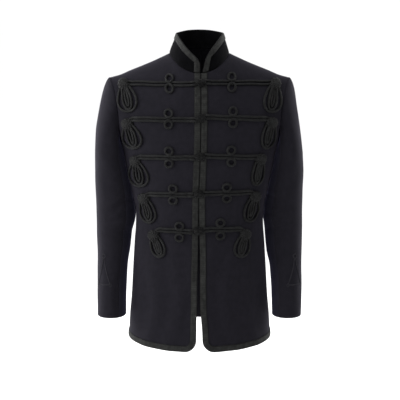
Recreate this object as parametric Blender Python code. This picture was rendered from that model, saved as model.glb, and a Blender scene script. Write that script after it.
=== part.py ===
"""A frogged patrol jacket, hollow as it is worn: wool panels with set-in two-piece sleeves, a
velvet stand collar, flat mohair braid on every edge and five rows of corded frogging.

Metres, +Z up, the front towards -Y. The origin is level with the two side-neck points, midway
between them, so heights below the neck are negative. Side +1 is the wearer's left.
"""

from collections import namedtuple
from math import pi, radians

import bpy
import numpy as np

# Driving sizes of the cut
WALL = 0.0022
SEAM_GAP = 0.0003
TRIM_GAP = 0.00045
CORD_GAP = 0.00085
# The frogs' outer ends stand this much further off, where the front curves away to the side
LIFT_OUTSIDE = 0.0007
OUTSIDE_FROM = 0.0900
OUTSIDE_RUN = 0.0400
FRONT_GAP = 0.0006
NECK_HALF = 0.0770
SHOULDER_X = 0.2270
SHOULDER_Z = -0.0612
ARMPIT_Z = -0.2350
NECK_FRONT_Z = -0.0460
NECK_BACK_Z = 0.0120
HEM_SIDE_Z = -0.7370
HEM_FRONT_Z = -0.7495
HEM_BACK_Z = -0.7260
CORNER_RADIUS = 0.0300
FULLNESS = 0.10

# Sizes of the trimming
BRAID_WIDTH = 0.0158
BRAID_THICK = 0.0014
CORD_WIDTH = 0.0062
CORD_HEIGHT = 0.0050
CORD_PITCH = 0.0073
EYELET_RADIUS = 0.0092
CAP_RADIUS = 0.0130
CAP_HEIGHT = 0.0105
OLIVET_HALF = (0.0135, 0.0095, 0.0070)
LIFT_ON_BRAID = BRAID_THICK + 0.0007

# The body at each height: half its width at the side, and how far front and back stand out
Level = namedtuple("Level", "height half_width front back")
BODY = (
    Level(-0.7500, 0.1865, 0.1380, 0.1300),
    Level(-0.6790, 0.1827, 0.1360, 0.1280),
    Level(-0.6280, 0.1780, 0.1335, 0.1240),
    Level(-0.5520, 0.1734, 0.1265, 0.1140),
    Level(-0.4780, 0.1686, 0.1190, 0.1010),
    Level(-0.4450, 0.1658, 0.1172, 0.0955),
    Level(-0.4110, 0.1650, 0.1165, 0.0932),
    Level(-0.3850, 0.1677, 0.1172, 0.0942),
    Level(-0.3610, 0.1730, 0.1190, 0.0970),
    Level(-0.3090, 0.1850, 0.1240, 0.1050),
    Level(-0.2565, 0.1950, 0.1290, 0.1130),
    Level(-0.2350, 0.2000, 0.1300, 0.1155),
    Level(-0.1900, 0.2193, 0.1290, 0.1185),
    Level(-0.1480, 0.2373, 0.1255, 0.1175),
    Level(-0.1000, 0.2800, 0.1170, 0.1120),
    Level(-0.0600, 0.3000, 0.1060, 0.1040),
    Level(-0.0400, 0.3060, 0.1000, 0.1010),
    Level(0.0200, 0.3100, 0.0920, 0.0990),
)
ARCH_HEIGHT = {"front": 0.1650, "back": 0.1300}

# The shoulder line: how high it is at each distance from the middle
Shoulder = namedtuple("Shoulder", "height distance")
SHOULDER = (
    Shoulder(0.0265, -0.0400),
    Shoulder(0.0330, 0.0000),
    Shoulder(0.0265, 0.0400),
    Shoulder(0.0000, NECK_HALF),
    Shoulder(-0.0118, 0.1010),
    Shoulder(-0.0235, 0.1270),
    Shoulder(-0.0337, 0.1520),
    Shoulder(-0.0440, 0.1780),
    Shoulder(-0.0547, 0.2030),
    Shoulder(SHOULDER_Z, SHOULDER_X),
    Shoulder(-0.0640, 0.2400),
)

# The rim of the armhole: how far out it is at each height
Rim = namedtuple("Rim", "height out")
ARMHOLE_RIM = (
    Rim(ARMPIT_Z, 0.2000),
    Rim(-0.1900, 0.2030),
    Rim(-0.1480, 0.2055),
    Rim(-0.1000, 0.2125),
    Rim(-0.0780, 0.2190),
    Rim(SHOULDER_Z, SHOULDER_X),
)

# The closing: how far each front edge lies from its line, and where the line runs beside the middle
Edge = namedtuple("Edge", "height apart line")
FRONT_EDGE = (
    Edge(-0.7520, 0.0088, -0.0002),
    Edge(-0.7000, 0.0074, -0.0006),
    Edge(-0.6650, 0.0060, -0.0018),
    Edge(-0.6450, 0.0044, -0.0022),
    Edge(-0.5900, 0.0036, -0.0024),
    Edge(-0.5000, 0.0024, -0.0014),
    Edge(-0.4300, 0.0012, -0.0018),
    Edge(-0.3700, FRONT_GAP, -0.0020),
    Edge(-0.3000, FRONT_GAP, 0.0002),
    Edge(-0.2100, FRONT_GAP, 0.0030),
    Edge(-0.1300, FRONT_GAP, 0.0037),
    Edge(0.0000, FRONT_GAP, 0.0030),
)

# The sleeves below the bicep line: outer and inner edge, how far the ring stands back, half its depth
Ring = namedtuple("Ring", "height outer inner middle half_depth")
RIGHT_ARM = (
    Ring(-0.2550, 0.2695, 0.1880, 0.0000, 0.0720),
    Ring(-0.3090, 0.2700, 0.1780, 0.0020, 0.0690),
    Ring(-0.3610, 0.2695, 0.1680, 0.0050, 0.0655),
    Ring(-0.4110, 0.2685, 0.1640, 0.0080, 0.0620),
    Ring(-0.4600, 0.2680, 0.1745, 0.0080, 0.0610),
    Ring(-0.5000, 0.2670, 0.1800, 0.0030, 0.0600),
    Ring(-0.5500, 0.2665, 0.1875, -0.0100, 0.0580),
    Ring(-0.6170, 0.2650, 0.1900, -0.0320, 0.0550),
    Ring(-0.6700, 0.2645, 0.1905, -0.0480, 0.0520),
)
LEFT_ARM = (
    Ring(-0.2550, 0.2670, 0.1880, 0.0000, 0.0720),
    Ring(-0.3090, 0.2690, 0.1780, 0.0020, 0.0690),
    Ring(-0.3610, 0.2680, 0.1680, 0.0050, 0.0655),
    Ring(-0.4110, 0.2680, 0.1620, 0.0080, 0.0620),
    Ring(-0.4600, 0.2680, 0.1690, 0.0080, 0.0610),
    Ring(-0.5100, 0.2675, 0.1740, 0.0010, 0.0600),
    Ring(-0.5500, 0.2670, 0.1830, -0.0100, 0.0580),
    Ring(-0.6170, 0.2650, 0.1870, -0.0320, 0.0550),
    Ring(-0.6700, 0.2630, 0.1880, -0.0480, 0.0520),
)
ARMS = {-1: RIGHT_ARM, 1: LEFT_ARM}
HEAD_OUT = {-1: 0.0000, 1: 0.0110}
# How the sleeve head leaves the rim: its way out at the armpit and at the top, forward, down and up
HEAD_WAY_OUT = (0.30, 1.00)
HEAD_WAY_FORWARD = 0.25
HEAD_WAY_DOWN = 0.35
HEAD_WAY_UP = 0.60
HEAD_LEAVE = (0.0030, 0.0180)
HEAD_ARRIVE = 0.45
ARM_MIDDLE_X = 0.2250
RIM_GAP = 0.0005
ARMPIT_GAP = 0.0020
BODY_CLEAR = 0.0026
ARM_RADIUS = 0.0450
PRESS_SOFT = 0.0020
RIM_STEPS = 10
SIDE_REACH = 0.1150
FRONT_SEAM = pi * 7 / RIM_STEPS
BACK_SEAM = pi * 13 / RIM_STEPS

# Soft folds pressed into the sleeves: where, how far they reach along and around, how deep
Fold = namedtuple("Fold", "side height angle along around depth")
SLEEVE_FOLDS = (
    Fold(-1, -0.4000, radians(120), 0.018, radians(48), 0.0035),
    Fold(-1, -0.4650, radians(135), 0.016, radians(40), 0.0028),
    Fold(1, -0.3850, radians(125), 0.017, radians(50), 0.0032),
    Fold(1, -0.4500, radians(130), 0.018, radians(42), 0.0030),
    Fold(-1, -0.3000, radians(60), 0.030, radians(30), 0.0020),
    Fold(1, -0.2900, radians(62), 0.030, radians(30), 0.0020),
)

# One frog on each side of each row: inner and outer height, eyelet, cap, foot and spread of its drops
Frog = namedtuple(
    "Frog", "side row inner_z outer_z eyelet_x eyelet_up eyelet_down cap_x cap_z foot_x foot_z spread"
)
FROGS = (
    Frog(-1, 1, -0.0724, -0.0742, 0.0740, 0.0125, 0.0110, 0.1903, -0.0774, 0.1739, -0.1404, 0.0236),
    Frog(-1, 2, -0.1575, -0.1588, 0.0762, 0.0150, 0.0115, 0.1795, -0.1725, 0.1612, -0.2327, 0.0241),
    Frog(-1, 3, -0.2518, -0.2532, 0.0754, 0.0165, 0.0147, 0.1607, -0.2665, 0.1484, -0.3305, 0.0238),
    Frog(-1, 4, -0.3458, -0.3480, 0.0657, 0.0154, 0.0147, 0.1395, -0.3623, 0.1250, -0.4235, 0.0193),
    Frog(-1, 5, -0.4407, -0.4388, 0.0500, 0.0122, 0.0168, 0.1154, -0.4558, 0.0976, -0.5077, 0.0161),
    Frog(1, 1, -0.0687, -0.0728, 0.0795, 0.0135, 0.0112, 0.1903, -0.0769, 0.1779, -0.1421, 0.0219),
    Frog(1, 2, -0.1508, -0.1580, 0.0824, 0.0156, 0.0125, 0.1797, -0.1696, 0.1676, -0.2339, 0.0172),
    Frog(1, 3, -0.2466, -0.2530, 0.0782, 0.0162, 0.0136, 0.1526, -0.2604, 0.1432, -0.3266, 0.0150),
    Frog(1, 4, -0.3419, -0.3430, 0.0677, 0.0143, 0.0140, 0.1397, -0.3570, 0.1250, -0.4206, 0.0179),
    Frog(1, 5, -0.4355, -0.4368, 0.0521, 0.0170, 0.0155, 0.1152, -0.4532, 0.1026, -0.5082, 0.0190),
)

# The collar's top edge: how far it stands out and its height, at the throat, the side and the back
COLLAR_TOP_FRONT = (0.0850, -0.0100)
COLLAR_TOP_SIDE = (0.0590, 0.0506)
COLLAR_TOP_BACK = (0.0500, 0.0580)
COLLAR_TOP_CURVE = 1.35
# Where its two ends lie beside the middle, and how far a radian of its plan reaches near them
COLLAR_END_BASE = {-1: -0.0018, 1: 0.0068}
COLLAR_END_TOP = {-1: -0.0018, 1: 0.0180}
COLLAR_REACH_BASE = 0.0847
COLLAR_REACH_TOP = 0.0620
COLLAR_GAP = 0.0008
COLLAR_CORNER = 0.0165
COLLAR_BRAID_WIDTH = 0.0155
COLLAR_ENDS_AT = (0.0, 0.0012, 0.0045, 0.0100, 0.0165)
COLLAR_STEPS = 13

# Rows of the fronts and of the back: rises above the hem, closer round the corner and at the waist
FRONT_RISES = (
    *(0.0, 0.002, 0.007, 0.016, 0.030, 0.060, 0.083, 0.098, 0.135, 0.190, 0.245, 0.290),
    *(0.317, 0.340, 0.363, 0.387, 0.420, 0.460, 0.503),
)
BACK_RISES = (0.0, 0.055, 0.110, 0.165, 0.220, 0.265, 0.300, 0.335, 0.375, 0.420, 0.470)
YOKE_STEPS = 4
FRONT_COLUMNS = 11
BACK_COLUMNS = 10
# Rows of a sleeve: 0 at the armhole, 1 at the bicep line, then even steps to the cuff at 2
SLEEVE_CAP_ROWS = (0.00, 0.10, 0.26, 0.47, 0.72)
SLEEVE_LOW_ROWS = 11

# Rows of the braid down a front edge: levels above the armpit line, then rises above the hem
EDGE_LEVELS = (2.970, 2.700, 2.350, 2.000, 1.840, 1.680, 1.520, 1.360, 1.200, 1.080)
EDGE_RISES = (
    *(0.5440, 0.5230, 0.4990, 0.4750, 0.4510, 0.4270, 0.4030, 0.3790, 0.3550, 0.3310, 0.3070),
    *(0.2830, 0.2590, 0.2350, 0.2050, 0.1750, 0.1450, 0.1200, 0.1040, 0.0965, 0.0900, 0.0845),
    *(0.0680, 0.0500),
)
CORNER_STEPS = 4
HEM_STEPS = 13
COLLAR_BRAID_FOOT = 0.0024
COLLAR_BRAID_STEPS = 17
LIFT_FULL = 0.0185
LIFT_ENDS = 0.0270
OLIVET_CLEAR = 0.0001
OLIVET_SIDES = 10
OLIVET_RINGS = 5

# Sizes inside a frog. A cord is widest at its foot and narrower along its crest.
CORD_FOOT = 0.45
CORD_CREST = 0.30
# The cords differ a hair in height, so that no two crests lie in one plane where they cross
CREST_STEP = 0.0001
BAR_START = 0.0148
BAR_BEND = 0.0220
BAR_STEP = 0.0200
# The two hanging loops: half the space between their strands at the cap, how far down and how wide
# they reach beside the foot and the spread, and their steps
Loop = namedtuple("Loop", "strands reach share steps")
DROP_LOOPS = {"outer": Loop(0.0095, 1.00, 1.00, 9), "inner": Loop(0.0042, 0.92, 0.46, 8)}
DROP_ROOT = (0.0020, 0.0040)
# Share of the strands' space and of the swell at a loop's widest place, two thirds of the way down
LOOP_TAPER = 0.577
LOOP_BELLY = 0.770
CAP_SIDES = 9
CAP_BROW = (0.86, 0.60)
# Where a bar's cords bend into the cap, beside its middle
CAP_BEND = 0.0060
CAP_ENTRY = (0.0030, 0.0040)
EYELET_SIDES = 8

# The traced figure above each cuff: a line with a point above it that ends in a small eye
TRACING_WIDTH = 0.0030
TRACING_HEIGHT = 0.0018
TRACING_TURN = radians(60)
TRACING_BASE_Z = -0.5870
TRACING_POINT_Z = -0.5180
TRACING_HALF = 0.0260
TRACING_EYE = 0.0055
TRACING_PLACES = (0.10, 0.30, 0.50, 0.70, 0.90)
EYE_SET = 0.80

# Colours as the cloth shows in soft light: linear red, green and blue, roughness
WOOL = ((0.0210, 0.0200, 0.0260), 0.85)
VELVET = ((0.0050, 0.0050, 0.0060), 0.95)
MOHAIR = ((0.0300, 0.0310, 0.0300), 0.60)
CORDING = ((0.0240, 0.0240, 0.0250), 0.65)
NETTING = ((0.0220, 0.0220, 0.0230), 0.70)


def smooth_through(places, values):
    """A function through the values that never overshoots between them."""
    order = np.argsort(places)
    x = np.array(places, float)[order]
    y = np.array(values, float)[order]
    step = np.diff(x)
    slope = np.diff(y) / step
    tangent = np.concatenate([slope[:1], np.zeros(len(x) - 2), slope[-1:]])
    same_way = slope[:-1] * slope[1:] > 0
    inner = tangent[1:-1]
    inner[same_way] = 2 / (1 / slope[:-1][same_way] + 1 / slope[1:][same_way])

    def value(at):
        at = np.clip(at, x[0], x[-1])
        k = np.clip(np.searchsorted(x, at) - 1, 0, len(step) - 1)
        t = (at - x[k]) / step[k]
        rise = (3 - 2 * t) * t * t
        bend = step[k] * t * (1 - t) * ((1 - t) * tangent[k] - t * tangent[k + 1])
        return y[k] + (y[k + 1] - y[k]) * rise + bend

    return value


def column(table, name, along="height"):
    return smooth_through([getattr(row, along) for row in table], [getattr(row, name) for row in table])


def mix(a, b, t):
    return a + (b - a) * t


def smooth_step(t):
    t = np.clip(t, 0, 1)
    return t * t * (3 - 2 * t)


def unit(vectors):
    return vectors / np.maximum(np.linalg.norm(vectors, axis=-1, keepdims=True), 1e-12)


side_width = column(BODY, "half_width")
stand_out = {"front": column(BODY, "front"), "back": column(BODY, "back")}
shoulder_height = column(SHOULDER, "height", "distance")
rim_out = column(ARMHOLE_RIM, "out")
edge_apart = column(FRONT_EDGE, "apart")
closing_line = column(FRONT_EDGE, "line")

ANGLES = np.linspace(-0.5, pi / 2 + 0.5, 2001)


def across(angle):
    """Share of the half width at an angle from the centre line, a little fuller than an ellipse."""
    return np.sin(angle) * (1 + FULLNESS * np.cos(angle) ** 2)


def outward(angle):
    """Share of the depth at an angle from the centre line."""
    return np.cos(angle) * (1 + FULLNESS * np.sin(angle) ** 2)


def angle_across(share):
    first_part = ANGLES[ANGLES <= pi / 2]
    return np.interp(share, across(first_part), first_part)


def angle_outward(share):
    kept = ANGLES[ANGLES >= 0]
    return np.interp(-share, -outward(kept), kept)


def front_edge(side, z):
    """How far from the middle a front ends at the closing, measured towards its side."""
    return edge_apart(z) + side * closing_line(z)


def depth_at(face, x, z):
    """How far the front or back stands out from the side line at a place seen from the front.

    Below the chest it is the section at that height. Above, an arch brings it in over the shoulder.
    """
    section = stand_out[face](z) * outward(angle_across(x / side_width(z)))
    drop = np.clip((shoulder_height(np.abs(x)) - z) / ARCH_HEIGHT[face], 0, 1)
    return section * np.sqrt(1 - (1 - drop) ** 2)


ARMHOLE_MIDDLE = (SHOULDER_Z + ARMPIT_Z) / 2
ARMHOLE_HALF = (SHOULDER_Z - ARMPIT_Z) / 2
LEVEL_Z = {
    "front": (HEM_FRONT_Z, -0.2050, -0.0780, NECK_FRONT_Z),
    "back": (HEM_BACK_Z, -0.2050, -0.0500, NECK_BACK_Z),
}
RIM_ANGLE = radians(62)
# A place inside the chest, and how deep inside the shoulders the cloth's outward way is taken from
CHEST_X = 0.1000
CHEST_DROP = 0.0600
INSIDE_DROP = 0.0200
INSIDE_TOP = -0.1400


def frame_at(face, level):
    """Centre height, side height, width scale and last angle of a level of the torso.

    Levels run 0 at the hem, 1 at the armpit, 2 at the shoulder tip, 3 at the neck.
    """
    level = np.asarray(level, float)
    body = np.clip(level, -0.2, 1)
    hole = np.clip(level - 1, 0, 1)
    yoke = np.clip(level - 2, 0, 1.05)
    hem, chest, tip, neck = LEVEL_Z[face]
    centre_z = mix(hem, chest, body) + (tip - chest) * hole + (neck - tip) * yoke
    body_z = mix(HEM_SIDE_Z, ARMPIT_Z, body)
    hole_z = ARMHOLE_MIDDLE - ARMHOLE_HALF * np.cos(pi * hole)
    yoke_x = mix(SHOULDER_X, NECK_HALF, yoke)
    side_z = np.where(level <= 1, body_z, np.where(level <= 2, hole_z, shoulder_height(yoke_x)))
    edge_x = np.where(level <= 1, side_width(side_z), np.where(level <= 2, rim_out(side_z), yoke_x))
    last = pi / 2 - (pi / 2 - RIM_ANGLE) * np.sin(pi * hole)
    return centre_z, side_z, edge_x / across(last), last


def torso(face, side, level, angle):
    """Points of the outer cloth of one side of the torso."""
    centre_z, side_z, width, _ = frame_at(face, level)
    x = width * across(angle)
    z = side_z + (centre_z - side_z) * np.cos(angle) ** 2
    past_side = np.where(angle > pi / 2, -1, 1)
    y = (-1 if face == "front" else 1) * past_side * depth_at(face, x, z)
    return np.stack(np.broadcast_arrays(side * x, y, z), axis=-1)


def armhole(side, turn):
    """The rim of the armhole: turn 0 at the shoulder tip, 90 degrees at the front."""
    turn = np.asarray(turn, float)
    z = ARMHOLE_MIDDLE + ARMHOLE_HALF * np.cos(turn)
    x = rim_out(z)
    y = np.where(np.sin(turn) > 0, -depth_at("front", x, z), depth_at("back", x, z))
    return np.stack([side * x, y, z], axis=-1)


def out_of_armhole(side, turn):
    """The way the torso's cloth would go on past the rim, into the sleeve."""
    small = 1e-4
    rim = armhole(side, turn)
    x = np.abs(rim[..., 0])
    z = rim[..., 2]
    front = rim[..., 1] < 0
    slopes = []
    for step_x, step_z in ((small, 0), (0, small)):
        change = {}
        for face in ("front", "back"):
            further = depth_at(face, x - step_x, z - step_z)
            change[face] = (depth_at(face, x, z) - further) / small
        slopes.append(np.where(front, change["front"], change["back"]))
    normal = np.stack([-side * slopes[0], np.where(front, -1.0, 1.0), -slopes[1]], axis=-1)
    along = armhole(side, turn + small) - armhole(side, turn - small)
    out = unit(np.cross(unit(normal), unit(along)))
    middle = np.array([side * CHEST_X, 0, ARMHOLE_MIDDLE - CHEST_DROP])
    return out * np.where(np.sum(out * (rim - middle), axis=-1) < 0, -1, 1)[..., None]


def arm_ring(side, height, turn):
    """The sleeve below the bicep line."""
    table = ARMS[side]
    outer = column(table, "outer")(height)
    inner = column(table, "inner")(height)
    middle = column(table, "middle")(height)
    half_depth = column(table, "half_depth")(height)
    x = (outer + inner) / 2 + (outer - inner) / 2 * np.cos(turn)
    y = middle - half_depth * np.sin(turn) * (1 + FULLNESS * np.cos(turn) ** 2)
    return np.stack(np.broadcast_arrays(side * x, y, height), axis=-1)


def beside_body(side, points):
    """The points, moved out where they would come too near the body."""
    x = side * points[..., 0]
    y = points[..., 1]
    height = np.minimum(points[..., 2], ARMPIT_Z)
    depth = np.where(y < 0, stand_out["front"](height), stand_out["back"](height))
    body_x = side_width(height) * across(angle_outward(np.clip(np.abs(y) / depth, 0, 1))) + BODY_CLEAR
    pressed = (x + body_x + np.sqrt((x - body_x) ** 2 + PRESS_SOFT**2)) / 2
    return np.stack([side * pressed, y, points[..., 2]], axis=-1)


def fold_depth(side, height, turn):
    """How far the soft folds press the sleeve in."""
    depth = 0.0
    for fold in SLEEVE_FOLDS:
        if fold.side == side:
            up = (height - fold.height) / fold.along
            round_about = (turn - fold.angle) / fold.around
            depth = depth + fold.depth * np.exp(-(up**2) - round_about**2)
    return depth


def sleeve(side, along, turn):
    """Points of a sleeve: along 0 at the armhole, 1 at the bicep line, 2 at the cuff."""
    along, turn = np.broadcast_arrays(np.asarray(along, float), np.asarray(turn, float))
    table = ARMS[side]
    bicep_z = table[0].height
    cuff_z = table[-1].height
    end = arm_ring(side, np.full_like(turn, bicep_z), turn)
    top = (1 + np.cos(turn)) / 2
    beside = np.zeros(turn.shape + (3,))
    beside[..., 0] = side * mix(ARMPIT_GAP, SEAM_GAP, top)
    start = armhole(side, turn) + RIM_GAP * out_of_armhole(side, turn) + beside
    out = side * mix(*HEAD_WAY_OUT, top)
    up = HEAD_WAY_UP * np.cos(turn) - HEAD_WAY_DOWN
    away = np.stack([out, -HEAD_WAY_FORWARD * np.sin(turn), up], axis=-1)
    leave = start + unit(away) * mix(*HEAD_LEAVE, top)[..., None]
    rise = HEAD_ARRIVE * (start[..., 2] - bicep_z)
    arrive = end + np.stack([-side * HEAD_OUT[side] * top, np.zeros_like(turn), rise], axis=-1)
    t = np.clip(along, 0, 1)[..., None]
    cap = (1 - t) ** 3 * start + 3 * (1 - t) ** 2 * t * leave + 3 * (1 - t) * t * t * arrive + t**3 * end
    height = mix(bicep_z, cuff_z, along - 1)
    low = arm_ring(side, height, turn)
    points = np.where((along <= 1)[..., None], cap, low)
    middle = np.stack(
        [side * np.full_like(turn, ARM_MIDDLE_X), np.zeros_like(turn), points[..., 2]], axis=-1
    )
    folded = points + unit(middle - points) * fold_depth(side, points[..., 2], turn)[..., None]
    return beside_body(side, folded)


def normals_of(surface, u, v, away_from):
    """Outward directions of a surface, by small steps in both of its directions."""
    small = 2e-4
    along_u = surface(u + small, v) - surface(u - small, v)
    along_v = surface(u, v + small) - surface(u, v - small)
    normal = unit(np.cross(along_u, along_v))
    facing = np.sum(normal * (surface(u, v) - away_from), axis=-1)
    return normal * np.where(facing < 0, -1, 1)[..., None]


def middle_of_body(points):
    """A point inside the body for each point of its cloth, lower and further in at the shoulders."""
    inside = np.zeros_like(points)
    inside[..., 0] = points[..., 0] / 2
    inside[..., 2] = np.minimum(points[..., 2] - INSIDE_DROP, INSIDE_TOP)
    return inside


def torso_cloth(face, side, level, angle):
    """Points and outward directions of the torso's outer cloth."""
    level, angle = np.broadcast_arrays(np.asarray(level, float), np.asarray(angle, float))

    def surface(u, v):
        return torso(face, side, u, v)

    points = surface(level, angle)
    return points, normals_of(surface, level, angle, middle_of_body(points))


def sleeve_cloth(side, along, turn):
    """Points and outward directions of a sleeve's outer cloth."""
    along, turn = np.broadcast_arrays(np.asarray(along, float), np.asarray(turn, float))

    def surface(u, v):
        return sleeve(side, u, v)

    points = surface(along, turn)
    small = 1e-3
    u = np.clip(along, small, 2 - small)
    centre = (surface(u, turn) + surface(u, turn + pi)) / 2
    return points, normals_of(surface, u, turn, centre)


def front_cloth_at(side, x, z):
    """The front's cloth where it shows at x, measured towards the side, and at height z."""
    x, z = np.broadcast_arrays(np.asarray(x, float), np.asarray(z, float))
    low = np.full(x.shape, -0.05)
    high = np.full(x.shape, 3.0)
    for _ in range(34):
        level = (low + high) / 2
        centre_z, side_z, width, _ = frame_at("front", level)
        angle = angle_across(x / width)
        above = side_z + (centre_z - side_z) * np.cos(angle) ** 2 > z
        high = np.where(above, level, high)
        low = np.where(above, low, level)
    return torso_cloth("front", side, level, angle)


def mesh_object(name, points, faces, material):
    mesh = bpy.data.meshes.new(name)
    mesh.from_pydata([tuple(p) for p in points], [], [tuple(f) for f in faces])
    mesh.materials.append(material)
    mesh.shade_smooth()
    mesh.set_sharp_from_angle(angle=radians(35))
    obj = bpy.data.objects.new(name, mesh)
    bpy.context.scene.collection.objects.link(obj)
    return obj


def shell_faces(rows, columns):
    """Faces of a closed wall whose outer points come first and whose inner points follow."""
    count = rows * columns
    faces = []
    for r in range(rows - 1):
        for c in range(columns - 1):
            a = r * columns + c
            quad = (a, a + 1, a + columns + 1, a + columns)
            faces.append(quad)
            faces.append(tuple(count + k for k in reversed(quad)))
    rim = [c for c in range(columns)]
    rim += [r * columns + columns - 1 for r in range(1, rows)]
    rim += [(rows - 1) * columns + c for c in range(columns - 2, -1, -1)]
    rim += [r * columns for r in range(rows - 2, 0, -1)]
    for a, b in zip(rim, rim[1:] + rim[:1]):
        faces.append((b, a, count + a, count + b))
    return faces


def signed_volume(points, faces):
    total = 0.0
    for face in faces:
        for k in range(1, len(face) - 1):
            a, b, c = points[face[0]], points[face[k]], points[face[k + 1]]
            total += np.dot(a, np.cross(b, c))
    return total


def facing_out(points, faces):
    if signed_volume(points, faces) < 0:
        return [tuple(reversed(face)) for face in faces]
    return faces


def shell(name, outer, normals, wall, material):
    """A closed wall of cloth from a grid of outer points."""
    rows, columns = outer.shape[:2]
    inner = outer - normals * wall
    points = np.concatenate([outer.reshape(-1, 3), inner.reshape(-1, 3)])
    return mesh_object(name, points, facing_out(points, shell_faces(rows, columns)), material)


def braid(name, grid, normals, material):
    """Flat braid lying on the cloth along a grid of its points."""
    raised = grid + normals * (TRIM_GAP + BRAID_THICK)
    return shell(name, raised, normals, BRAID_THICK, material)


def levels_of(rises, face):
    """Levels of the rows of a panel: rises above the hem, then steps to the tip and the neck."""
    hem, chest = LEVEL_Z[face][:2]
    body = [rise / (chest - hem) for rise in rises]
    hole = [1 + k / RIM_STEPS for k in range(RIM_STEPS + 1)]
    yoke = [2 + (k + 1) / YOKE_STEPS for k in range(YOKE_STEPS)]
    return np.array(body + hole + yoke)


def front_start(side, level):
    """The angle where a front begins at its edge, rounded off at the hem corner."""
    centre_z, _, width, _ = frame_at("front", level)
    rise = np.clip(centre_z - HEM_FRONT_Z, 0, CORNER_RADIUS)
    rounded = CORNER_RADIUS - np.sqrt(CORNER_RADIUS**2 - (CORNER_RADIUS - rise) ** 2)
    x = front_edge(side, centre_z) + rounded
    return angle_across(x / width)


def make_front(side, name, wool):
    level = levels_of(FRONT_RISES, "front")
    first = front_start(side, level)
    _, _, width, last = frame_at("front", level)
    last = last - SEAM_GAP / 2 / SIDE_REACH
    share = np.linspace(0, 1, FRONT_COLUMNS)
    angle = mix(first[:, None], last[:, None], share[None, :])
    points, normals = torso_cloth("front", side, level[:, None], angle)
    return shell(name, points, normals, WALL, wool)


def make_back(side, name, wool):
    level = levels_of(BACK_RISES, "back")
    _, _, width, last = frame_at("back", level)
    last = last - SEAM_GAP / 2 / SIDE_REACH
    first = SEAM_GAP / 2 / width
    share = np.linspace(0, 1, BACK_COLUMNS)
    angle = mix(first[:, None], last[:, None], share[None, :])
    points, normals = torso_cloth("back", side, level[:, None], angle)
    return shell(name, points, normals, WALL, wool)


def make_sleeve_piece(side, name, first, last, wool):
    """One part of a sleeve, with a column of points at each step of the armhole's rim."""
    along = np.concatenate([np.array(SLEEVE_CAP_ROWS), np.linspace(1, 2, SLEEVE_LOW_ROWS)])
    half_gap = SEAM_GAP / 2 / ARM_RADIUS
    steps = round((last - first) / (pi / RIM_STEPS))
    turn = np.linspace(first, last, steps + 1)
    turn[0] += half_gap
    turn[-1] -= half_gap
    points, normals = sleeve_cloth(side, along[:, None], turn[None, :])
    return shell(name, points, normals, WALL, wool)


def make_sleeve(side, label, wool):
    make_sleeve_piece(side, f"sleeve_{label}_top", BACK_SEAM - 2 * pi, FRONT_SEAM, wool)
    make_sleeve_piece(side, f"sleeve_{label}_under", FRONT_SEAM, BACK_SEAM, wool)


def at_level(side, level, x):
    """The front's cloth at a level of the torso and at x, measured towards the side."""
    level, x = np.broadcast_arrays(np.asarray(level, float), np.asarray(x, float))
    _, _, width, _ = frame_at("front", level)
    return torso_cloth("front", side, level, angle_across(x / width))


def edge_line(side, share):
    """The braid's way down the front edge and round the corner, share 0 on the edge and 1 inside."""
    hem, chest = LEVEL_Z["front"][:2]
    rises = np.array(EDGE_RISES)
    level = np.concatenate([np.array(EDGE_LEVELS), rises / (chest - hem)])
    centre_z = frame_at("front", level)[0]
    x = front_edge(side, centre_z) + share * BRAID_WIDTH
    turn = np.linspace(0, pi / 2, CORNER_STEPS + 1)
    radius = CORNER_RADIUS - share * BRAID_WIDTH
    corner_rise = CORNER_RADIUS - radius * np.sin(turn)
    corner_edge = front_edge(side, hem + corner_rise)
    corner_x = corner_edge + CORNER_RADIUS - radius * np.cos(turn)
    return at_level(
        side, np.concatenate([level, corner_rise / (chest - hem)]), np.concatenate([x, corner_x])
    )


def hem_line(face, side, share, first):
    """The braid's way along the hem from an angle to the side seam."""
    hem, chest = LEVEL_Z[face][:2]
    level = share * BRAID_WIDTH / (chest - hem)
    _, _, width, last = frame_at(face, level)
    last = last - SEAM_GAP / 2 / SIDE_REACH
    return torso_cloth(face, side, level, np.linspace(first, last, HEM_STEPS + 1))


def make_edge_braid(side, name, mohair):
    points = []
    normals = []
    for share in (0, 1):
        down, down_normals = edge_line(side, share)
        _, _, width, _ = frame_at("front", 0)
        first = angle_across((front_edge(side, HEM_FRONT_Z) + CORNER_RADIUS) / width)
        along, along_normals = hem_line("front", side, share, first)
        points.append(np.concatenate([down, along[1:]]))
        normals.append(np.concatenate([down_normals, along_normals[1:]]))
    return braid(name, np.stack(points), np.stack(normals), mohair)


def make_back_hem_braid(name, mohair):
    points = []
    normals = []
    for share in (0, 1):
        right, right_normals = hem_line("back", -1, share, 0)
        left, left_normals = hem_line("back", 1, share, 0)
        points.append(np.concatenate([right[::-1], left[1:]]))
        normals.append(np.concatenate([right_normals[::-1], left_normals[1:]]))
    return braid(name, np.stack(points), np.stack(normals), mohair)


def neck_seam(side, angle):
    """The neck edge of the torso: angle 0 at the throat, 180 degrees at the back."""
    front = torso("front", side, 3.0, np.minimum(angle, pi / 2))
    back = torso("back", side, 3.0, np.minimum(pi - angle, pi / 2))
    return np.where((angle <= pi / 2)[..., None], front, back)


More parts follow.
